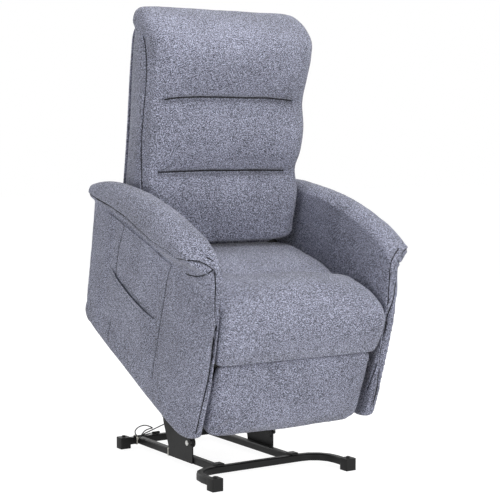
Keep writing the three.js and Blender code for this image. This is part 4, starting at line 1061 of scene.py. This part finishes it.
class RECLINER_OT_footrest(Step):
    """Makes the padded footrest panel"""

    bl_idname = "recliner.footrest"
    bl_label = "Footrest pad"

    def build(self, settings):
        def place(a, b, c):
            t = (c + 1) / 2
            crown = 12 * (1 - a * a) * np.sin(np.pi * (0.12 + 0.76 * t))
            face = lerp(80, 104, smooth(t, 0.2, 1)) - crown
            low = 5 + 26 * np.abs(a) ** 9
            return a * 265, lerp(face, 127.7, (b + 1) / 2), lerp(low, 239, t)

        points, faces = cover((60, 10, 30), (18, 4.0, 14), place)
        pad = make_piece("footrest_pad_cover", to_room(points), faces)

        def held(p):
            corner = smooth(np.abs(p[:, 0]), 225, 255) * smooth(p[:, 2], 200, 232)
            return np.maximum(smooth(p[:, 1], 112, 124), 0.85 * corner)

        room = (-268, 55, 2), (268, 127.7, 241)
        stuff(pad, held, 0.005, 3.5, 9)
        keep_in(pad, *room)
        ripple(pad, 80, 1.4, 11.3)
        ripple(pad, 26, 0.5, 2.2)
        keep_in(pad, *room)
        upholster(pad, "footrest", 0.8, "footrest_pad")


class RECLINER_OT_back(Step):
    """Makes the back cushion with its two sewn channels, and the shell behind it"""

    bl_idname = "recliner.back"
    bl_label = "Back"

    def build(self, settings):
        sunk_by = settings.channel_depth * 1000

        def place(a, b, c):
            z = lerp(288, 973 - 5 * a ** 4, (c + 1) / 2)
            head = smooth(z, 640, 880)
            taper = (8 + 10 * head) * smooth(b, 0.1, 0.9) * (1 - smooth(z, 893, 913))
            width = 274 + 10 * head - taper
            channel = sum(np.exp(-(((z - seam_z(at, a * width)) / 30) ** 2))
                          for at in CHANNEL_HEIGHTS)
            front = np.where(b < 0, np.minimum(1, -b * 1.6), 0)
            sunk = sunk_by * channel * front * (1 - np.abs(a) ** 6)
            wrap = lerp(26, 36, head) * np.abs(a) ** 5 + 22 * a * a * head
            face = back_face(z) + wrap * smooth(z, 326, 340) + sunk + 6
            rear = back_rear(z) - 8.6
            return a * width, lerp(np.minimum(face, rear - 20), rear, (b + 1) / 2), z

        def seam_z(at, x):
            droop = 5 if at == CHANNEL_HEIGHTS[0] else 15
            return at + 1 - droop * (x / 232) ** 4

        points, faces = cover((60, 24, 76), (16, 4.6, 28), place)
        cushion = make_piece("back_cushion_cover", to_room(points), faces)
        channels = [np.array([(x, 0, seam_z(at, x)) for x in np.linspace(-234, 208, 60)])
                    for at in CHANNEL_HEIGHTS]

        def held(p):
            past = p[:, 1] - back_rear(p[:, 2])
            behind = smooth(past, -110, -60) * (1 - smooth(p[:, 2], 900, 960))
            behind = np.maximum(behind, smooth(past, -40, -15))
            near = reach_to(channels, p * (1, 0, 1))
            front = 1 - smooth(p[:, 1] - back_face(p[:, 2]), 60, 110)
            corner = 0.9 * smooth(np.abs(p[:, 0]), 225, 265) * smooth(p[:, 2], 890, 945)
            foot = 1 - smooth(p[:, 2], 330, 390)
            return np.maximum.reduce([behind, np.exp(-(near / 7) ** 2) * front, corner, foot])

        stuff(cushion, held, COVER_CELL, 4.0, settings.back_swell * 1000)
        lines = [shoot(cushion, [(x, float(back_face(z)) - 20, z) for x, _, z in channel])
                 for channel in channels]
        press(cushion, lines, 6.0, 9.0, 1.2, 17, 9)
        press(cushion, lines, 2.6, 6.0)
        ripple(cushion, 110, 2.2, 5.9)
        ripple(cushion, 27, 0.5, 9.4)
        p = to_seat(points_of(cushion))
        p[:, 1] = np.minimum(p[:, 1], back_rear(p[:, 2]) - 8.4)
        p[:, 1] = np.maximum(p[:, 1], 653 - 400 * smooth(p[:, 2], 328, 350))
        p[:, 2] = np.where(p[:, 1] < 652, np.maximum(p[:, 2], 336.5), p[:, 2])
        widest = np.where(p[:, 2] < 480, 281, 296)
        p[:, 0] = np.clip(p[:, 0], -widest, widest)
        set_points(cushion, to_room(p))
        edge = sighted(cushion, ((142, 36), (145, 50), (145.3, 75), (142.5, 105), (139.8, 140),
                                 (139.8, 162), (140.5, 190)))
        welts = [lay_on(cushion, across(edge, side, RIGHT)) for side in (RIGHT, LEFT)]
        inner = [lay_on(cushion, w - (0, 6, 0)) for w in welts]
        press(cushion, inner, 3.0, 2.4)
        press(cushion, [lay_on(cushion, w - (0, 20, 0)) for w in welts], 13, 4.5)
        upholster(cushion, "back", 0.8, "back_cushion")
        sew("back_stitching", [lay_on(cushion, w + (0, 7, 0), 0.25) for w in welts], "back",
            settings)
        # Painted shade: dark strips laid in the two channels' grooves and in the seams inside the
        # welts.
        seam_shade("back_channel_shade", [shoot(cushion, line - (0, 30, 0), -1.0) for line in lines], "back",
             0.0078)
        seam_shade("back_welt_seam_shade", [lay_on(cushion, w, -0.2) for w in inner], "back",
             1.4 * settings.seam_shade_width)
        piping("back_piping", [lay_on(cushion, w, 0.6) for w in welts], "back", settings)

        def shell_place(a, b, c):
            z = lerp(222, 900, (c + 1) / 2)
            round_off = 8 * np.abs(a) ** 8
            outward = np.where(b > 0, 3.0 * (1 - a * a) * (1 - c * c), 0)
            return a * 260, back_rear(z) - round_off - np.where(b < 0, 7.4, 0) + outward, z

        points, faces = cover((60, 3, 76), (18, 18, 18), shell_place)
        shell = make_piece("back_shell_cover", to_room(points), faces)
        refine(shell)
        ripple(shell, 150, 1.2, 1.7)
        upholster(shell, "back", 0.2, "back_shell")


class RECLINER_OT_arms(Step):
    """Makes the two arms: panel and roll in one cover, the pocket, the seams and their stitching"""

    bl_idname = "recliner.arms"
    bl_label = "Arms and pockets"

    def build(self, settings):
        arms = {side: self.cover_arm(side) for side in (RIGHT, LEFT)}
        found = self.sewn_lines(arms)
        for side, arm in arms.items():
            lines = {key: line for (where, key), line in found.items() if where == side}
            self.shape_seams(side, arm, lines)
            pocket = self.pocket(side, arm)
            self.sew_arm(side, arm, pocket, lines, settings)

    def section(self, u):
        """The outline across an arm at a share u of its length, as (x, z) points in five runs: up
        the inner face, over the roll, under it, down the outer face and along the foot."""
        y = lerp(150, 866, u)
        near = lerp(70, 770, u)
        foot = 44 * (1 - smooth(near, 30, 160)) ** 1.5 + 26 * smooth(near, 730, 782) ** 2 + 1
        nose = 26 * (1 - np.sqrt(1 - (1 - min(1, u / 0.05)) ** 2))
        crest = rest_top(y) - 3 - nose
        tip_x, tip_z = roll_out(y), roll_low(y)
        crest = max(crest, tip_z + 6)
        seat_x, face_x = ARM_SEAT_FACE, arm_outer(y) - 2.5
        ledge = arm_top(y) + 6 + 14 * (1 - smooth(y, 215, 420))
        return [
            [(seat_x, foot), (seat_x, crest - 44)],
            [(seat_x, crest - 36), (285.5, crest - 23), (292, crest - 10), (307, crest - 2),
             (328, crest), (347, crest - 2),
             (lerp(347, tip_x, 0.55), lerp(crest - 2, tip_z, 0.26)),
             (lerp(347, tip_x, 0.88), lerp(crest - 2, tip_z, 0.62)), (tip_x, tip_z + 3)],
            [(tip_x - 1, tip_z - 5), (tip_x - 6, tip_z - 14),
             (lerp(tip_x, face_x, 0.55), lerp(tip_z, ledge, 0.72)), (face_x + 3, ledge)],
            [(face_x, ledge - 10), (face_x, foot + 4)],
            [(face_x - 3, foot), (seat_x + 3, foot)],
        ]

    def front_edge(self, x, z):
        """Where the arm starts: it leans back with height, and the roll's corner is set back."""
        return (arm_front(z) + 1.5 + 0.35 * np.maximum(0, z - 500)
                + 0.72 * np.maximum(0, x - 320) * smooth(z, 430, 500))

    def cover_arm(self, side):
        """One stuffed cover for the panel and the roll of an arm."""
        name = SIDE_NAMES[side]
        shares = np.concatenate([np.linspace(0, 0.06, 10)[:-1], np.linspace(0.06, 1, 100)])
        counts = (46, 34, 14, 42, 5)
        rings = []
        for u in shares:
            ring = []
            for run, count in zip(self.section(u), counts):
                run = np.array([(x, 0.0, z) for x, z in run], float)
                ring.extend(spread(run, count)[:, [0, 2]])
            ring = np.array(ring)
            for _ in range(2):
                ring = (np.roll(ring, 1, axis=0) + 2 * ring + np.roll(ring, -1, axis=0)) / 4
            x, z = ring.T
            rear = arm_rear(z) - 1.5 + 8 * smooth(z, 380, 410)
            rings.append(np.column_stack([side * x, lerp(self.front_edge(x, z), rear, u), z]))
        around = len(rings[0])
        points = np.concatenate(rings)
        faces = [list(range(around)), list(range(len(points) - around, len(points)))]
        for i in range(len(rings) - 1):
            for k in range(around):
                after = (k + 1) % around
                faces.append([i * around + k, i * around + after, (i + 1) * around + after,
                              (i + 1) * around + k])
        arm = make_piece(f"{name}_arm_cover", to_room(points), faces)
        tight = list(self.seams(side).values())

        def held(p):
            near = reach_to(tight, p)
            out, over = np.abs(p[:, 0]), p[:, 2] - arm_top(p[:, 1])
            inside = (1 - smooth(out, 286, 296)) * (1 - smooth(over, 30, 60))
            under_pocket = smooth(p[:, 1], 330, 360) * (1 - smooth(p[:, 1], 650, 680)) * (
                1 - smooth(p[:, 2], 246, 262)) * smooth(out, 310, 320)
            return np.maximum.reduce([np.exp(-(near / 8) ** 2), 0.8 * inside, under_pocket])

        stuff(arm, held, COVER_CELL, 2.6, 6)
        p = to_seat(points_of(arm))
        p[:, 0] = side * np.clip(side * p[:, 0], 283.2, 392)
        set_points(arm, to_room(p))
        return arm

    def shape_seams(self, side, arm, lines):
        """Draws the arm's seams in, raises the cloth beside them and gathers the pleats."""
        name = SIDE_NAMES[side]
        press(arm, [lines["roll"]], 3.4, 4.2, 1.2, 9, 4)
        press(arm, [lines["band"]], 3.0, -1.3)
        press(arm, [lines[k] for k in ("front", "rear")], 3.0, 1.8, 0.5, 8, 4)
        press(arm, [lines[k] for k in ("outer_edge", "inner_edge")], 3.0, 3.4, 1.8, 7, 3)
        press(arm, [lines["dart"]], 3.2, 3.6, 0.8, 9, 4)
        press(arm, lines["pleats"], 2.6, 2.0)
        ripple(arm, 160, 1.4, 4.4 * side + 9)
        ripple(arm, 36, 0.5, 1.4 * side + 4)
        upholster(arm, "chair", 0.6, f"{name}_arm_panel", f"{name}_armrest")

    def seams(self, side):
        """Where the arm's cloth is sewn tight, as seat points."""
        def on_face(*pairs):
            return eased([(side * float(arm_outer(y)), y, z) for y, z in pairs])

        roll = [(side * 318, 163, 499), (side * 345, 183, 512), (side * 372, 208, 516)]
        roll += [(side * (float(roll_out(y)) - 1), y, float(roll_low(y)) - 5)
                 for y in range(236, 846, 30)]
        roll.append((side * 350, 858, 396))
        heights = np.linspace(20, 478, 44)
        return {
            "front": on_face((392, 414), (390, 399), (376, 296), (375, 253), (361, 154), (343, 53),
                             (338, 8)),
            "rear": on_face((684, 404), (681, 367), (677, 306), (661, 236), (650, 150), (637, 72),
                            (626, 12)),
            "outer_edge": eased([(side * 310, float(arm_front(z)) + 3, z) for z in heights[:40]]),
            "inner_edge": eased([(side * 286, float(arm_front(z)) + 3, z) for z in heights]
                                + [(side * 296, 164, 496), (side * 318, 172, 512),
                                   (side * 350, 190, 522)]),
            "roll": eased(roll),
        }

    def lip(self):
        """The sewn lower edge of the right arm's roll, from the rear to where it turns in."""
        y = np.arange(846, 290, -12.0)
        x = roll_out(y) - 2
        z = arm_top(y) + lerp(56, 20, (y - 215) / 600) - 6
        return np.column_stack([RIGHT * x, y, z])

    def sewn_lines(self, arms):
        """The arms' seams, each sighted on the arm that shows it and mirrored to the other."""
        seen = {
            "roll": (RIGHT, (174, 257.5), (180, 260), (187, 261), (194, 260.7), (201, 262.4),
                     (208.6, 266.4), (213.6, 271)),
            "band": (RIGHT, (110, 213.5), (130, 230), (150, 246), (162, 257.5), (172, 266)),
            "piping": (RIGHT, (217.3, 275), (218.2, 300), (217.9, 325), (215.4, 346),
                       (213.3, 363.6), (210.8, 380.7), (205.8, 403.6), (202.2, 419.3),
                       (197.9, 433)),
            "dart": (RIGHT, (185.7, 274.3), (193.6, 276.7), (202, 276.4), (209.3, 272.9),
                     (213.4, 270.7)),
            "front": (RIGHT, (170.7, 266.4), (167, 276.4), (163.6, 302), (160.5, 318), (157, 343.6),
                      (153.6, 360.7), (151.4, 379)),
            "rear": (RIGHT, (124, 226.5), (118.6, 249), (116.4, 263.6), (115, 285), (111, 317.9),
                     (107.6, 338)),
            "outer_edge": (RIGHT, (214.3, 272), (215.6, 284), (215.7, 302), (215.3, 323.6),
                           (212.9, 346.4), (211, 363.6), (208.2, 380.7), (202.9, 403.6),
                           (199.6, 419.3), (195.7, 434)),
            "inner_edge": (LEFT, (399, 247.5), (392.8, 257), (389.5, 265), (387.7, 302),
                           (386, 325), (377.8, 360), (367, 390)),
        }
        pleats = (((195, 257), (193, 252)), ((199, 258), (198, 251.5)),
                  ((203, 259.5), (203, 252.5)), ((207, 262), (208, 255)))
        found = {}
        for key, (home, *spots) in seen.items():
            line = sighted(arms[home], spots)
            if key == "roll":
                line = np.concatenate([self.lip(), line])
            for side in (RIGHT, LEFT):
                found[side, key] = lay_on(arms[side], across(line, side, home))
        for side in (RIGHT, LEFT):
            found[side, "pleats"] = [
                lay_on(arms[side], across(sighted(arms[RIGHT], ends), side, RIGHT))
                for ends in pleats]
        return found

    def pocket(self, side, arm):
        """Lays the side pocket on the arm's outer face, its mouth standing off a little."""
        name = SIDE_NAMES[side]
        tree = tree_of(arm)
        inward = Vector((-side, 0, 0))

        def face_at(y, z):
            start = to_room([(side * 420, y, z)])[0]
            hit = tree.ray_cast(Vector(start), inward)[0]
            return side * hit.x * 1000 if hit is not None else float(arm_outer(y))

        def place(a, b, c):
            t = (c + 1) / 2
            front, rear = lerp(330, 358, t), lerp(638, 661, t)
            y = lerp(front, rear, (a + 1) / 2)
            z = lerp(50, 240, t) - 11 * (1 - a * a) * t * t
            out = np.array([face_at(*at) for at in zip(y, z)])
            stand = 6.5 * t * t * (1 - a ** 4) + 2.6 * smooth(t, 0, 0.5) * (1 - a ** 8)
            inner = (np.where(b < 0, -2.2 * smooth(t, 0.6, 1) - 0.6, 0)
                     - 1.4 * (1 - smooth(t, 0, 0.4)))
            return side * (out + stand + inner - 0.4), y, z

        points, faces = cover((70, 2, 48), (40, 40, 40), place)
        pocket = make_piece(f"{name}_pocket_cover", to_room(points), faces)
        refine(pocket)
        press(pocket, [lay_on(pocket, self.hem(side))], 2.4, 0.9, 0.5, 6, 3)
        upholster(pocket, "chair", 0.1, f"{name}_pocket")
        return pocket

    def hem(self, side):
        """The stitched line a little below the pocket's mouth."""
        shares = np.linspace(-0.97, 0.97, 40)
        return [(side * 345, 518 + 143 * u, 240 - 11 * (1 - u * u) - HEM_DROP)
                for u in shares]

    def sew_arm(self, side, arm, pocket, lines, settings):
        """Lays the piping, the strips of painted seam shade and the topstitching along the arm's
        seams.
        """
        name = SIDE_NAMES[side]
        deep = [lay_on(arm, lines[k]) for k in ("roll", "outer_edge", "inner_edge", "dart")]
        plain = [lay_on(arm, lines[k]) for k in ("front", "rear")]
        welts = [lay_on(arm, lines[k], 0.8) for k in ("piping", "band")]
        piping(f"{name}_arm_piping", welts, "chair", settings)
        # Painted shade: dark strips laid in the deep seams and in the plain panel seams.
        seam_shade(f"{name}_arm_seam_shade", deep, "chair", 1.8 * settings.seam_shade_width)
        seam_shade(f"{name}_panel_seam_shade", plain, "chair", settings.seam_shade_width)
        rows = [beside(arm, lines["front"], 4), beside(arm, lines["rear"], 4),
                beside(pocket, self.hem(side), 0), beside(arm, lines["band"], 0),
                beside(arm, lines["roll"], 6)]
        sew(f"{name}_arm_stitching", rows, "chair", settings)


class RECLINER_OT_rear_panel(Step):
    """Makes the fabric panel between the arms at the rear"""

    bl_idname = "recliner.rear_panel"
    bl_label = "Rear panel"

    def build(self, settings):
        low, high = 38, 190
        start = float(arm_rear(low)) - 32
        lean = math.atan2(float(arm_rear(high)) - float(arm_rear(low)), high - low)

        def place(a, b, c):
            up = lerp(0, high - low, (c + 1) / 2)
            bulge = np.where(b > 0, 2.0 * (1 - a * a) * (1 - c * c), 0)
            back = lerp(-12, 0, (b + 1) / 2) + bulge
            y = start + back * math.cos(lean) + up * math.sin(lean)
            z = low + up * math.cos(lean) - back * math.sin(lean)
            return a * SEAT_HALF, y, z

        points, faces = cover((60, 4, 20), (26, 10, 26), place)
        panel = make_piece("rear_panel_cover", to_room(points), faces)
        refine(panel)
        ripple(panel, 90, 1.0, 8.8)
        upholster(panel, "chair", 0.2, "rear_panel")


class RECLINER_OT_stage(Step):
    """Lays the pale floor and hangs the studio lamps"""

    bl_idname = "recliner.stage"
    bl_label = "Stage"

    def build(self, settings):
        mesh = bpy.data.meshes.new("studio_floor")
        corners = [(FLOOR_HALF * x, FLOOR_HALF * y, 0)
                   for x, y in ((-1, -1), (1, -1), (1, 1), (-1, 1))]
        mesh.from_pydata(corners, [], [(0, 1, 2, 3)])
        floor = link_new("studio_floor", mesh)
        f = Finish("Studio floor")
        seen = self.seen(f)
        lit = f.node("ShaderNodeBsdfDiffuse", {}, {"Color": (0.80, 0.80, 0.80, 1)})
        dim = f.node("ShaderNodeBsdfDiffuse", {}, {"Color": (0.30, 0.30, 0.30, 1)})
        glow = f.node("ShaderNodeEmission", {}, {"Color": (1, 1, 1, 1), "Strength": 0.92})
        bright = f.node("ShaderNodeAddShader", {}, {0: dim, 1: glow})
        both = f.node("ShaderNodeMixShader", {}, {0: seen, 1: lit, 2: bright})
        f.node("ShaderNodeOutputMaterial", {}, {"Surface": both})
        mesh.materials.append(f.owner)

        world = bpy.data.worlds.new("Studio")
        bpy.context.scene.world = world
        sky = Finish("Studio", world)
        ambient, white = (
            sky.node("ShaderNodeBackground", {}, {"Color": (*tint, 1), "Strength": strength})
            for tint, strength in (((0.97, 0.98, 1.0), 0.31), ((1, 1, 1), 1.0)))
        mixed = sky.node("ShaderNodeMixShader", {}, {0: self.seen(sky), 1: ambient, 2: white})
        sky.node("ShaderNodeOutputWorld", {}, {"Surface": mixed})

        for name, where, size, power in LAMPS:
            self.lamp(name, where, size, power * settings.light_level)
        bpy.context.scene.view_settings.view_transform = "Standard"

    def seen(self, f):
        """1 where the camera, a gloss or a glass looks."""
        camera, gloss, glass = f.node("ShaderNodeLightPath", output=(
            "Is Camera Ray", "Is Glossy Ray", "Is Transmission Ray"))
        return camera.most(gloss).most(glass)

    def lamp(self, name, where, size, power):
        light = bpy.data.lights.new(name, "AREA")
        light.shape, light.size, light.energy = "SQUARE", size, power
        lamp = link_new(name, light)
        lamp.location = where
        lamp.rotation_mode = "QUATERNION"
        lamp.rotation_quaternion = (LAMP_AIM - Vector(where)).to_track_quat("-Z", "Y")


STEPS = (RECLINER_OT_camera, RECLINER_OT_lead, RECLINER_OT_floor_frame, RECLINER_OT_lift,
         RECLINER_OT_seat_frame, RECLINER_OT_seat_cushion, RECLINER_OT_footrest, RECLINER_OT_back,
         RECLINER_OT_arms, RECLINER_OT_rear_panel, RECLINER_OT_stage)


class RECLINER_PT_panel(bpy.types.Panel):
    """Lists the steps that dress the chair"""

    bl_label = "Lift recliner chair"
    bl_idname = "RECLINER_PT_panel"
    bl_space_type = "VIEW_3D"
    bl_region_type = "UI"
    bl_category = "Recliner"

    def draw(self, context):
        for name in RECLINER_PG_settings.__annotations__:
            self.layout.prop(context.scene.recliner, name)
        for step in STEPS:
            self.layout.operator(step.bl_idname)


CLASSES = (RECLINER_PG_settings, *STEPS, RECLINER_PT_panel)


def register():
    for cls in CLASSES:
        bpy.utils.register_class(cls)
    bpy.types.Scene.recliner = PointerProperty(type=RECLINER_PG_settings)


def unregister():
    del bpy.types.Scene.recliner
    for cls in reversed(CLASSES):
        bpy.utils.unregister_class(cls)


def main():
    register()
    for step in STEPS:
        group, name = step.bl_idname.split(".")
        getattr(getattr(bpy.ops, group), name)()


if __name__ == "__main__":
    main()
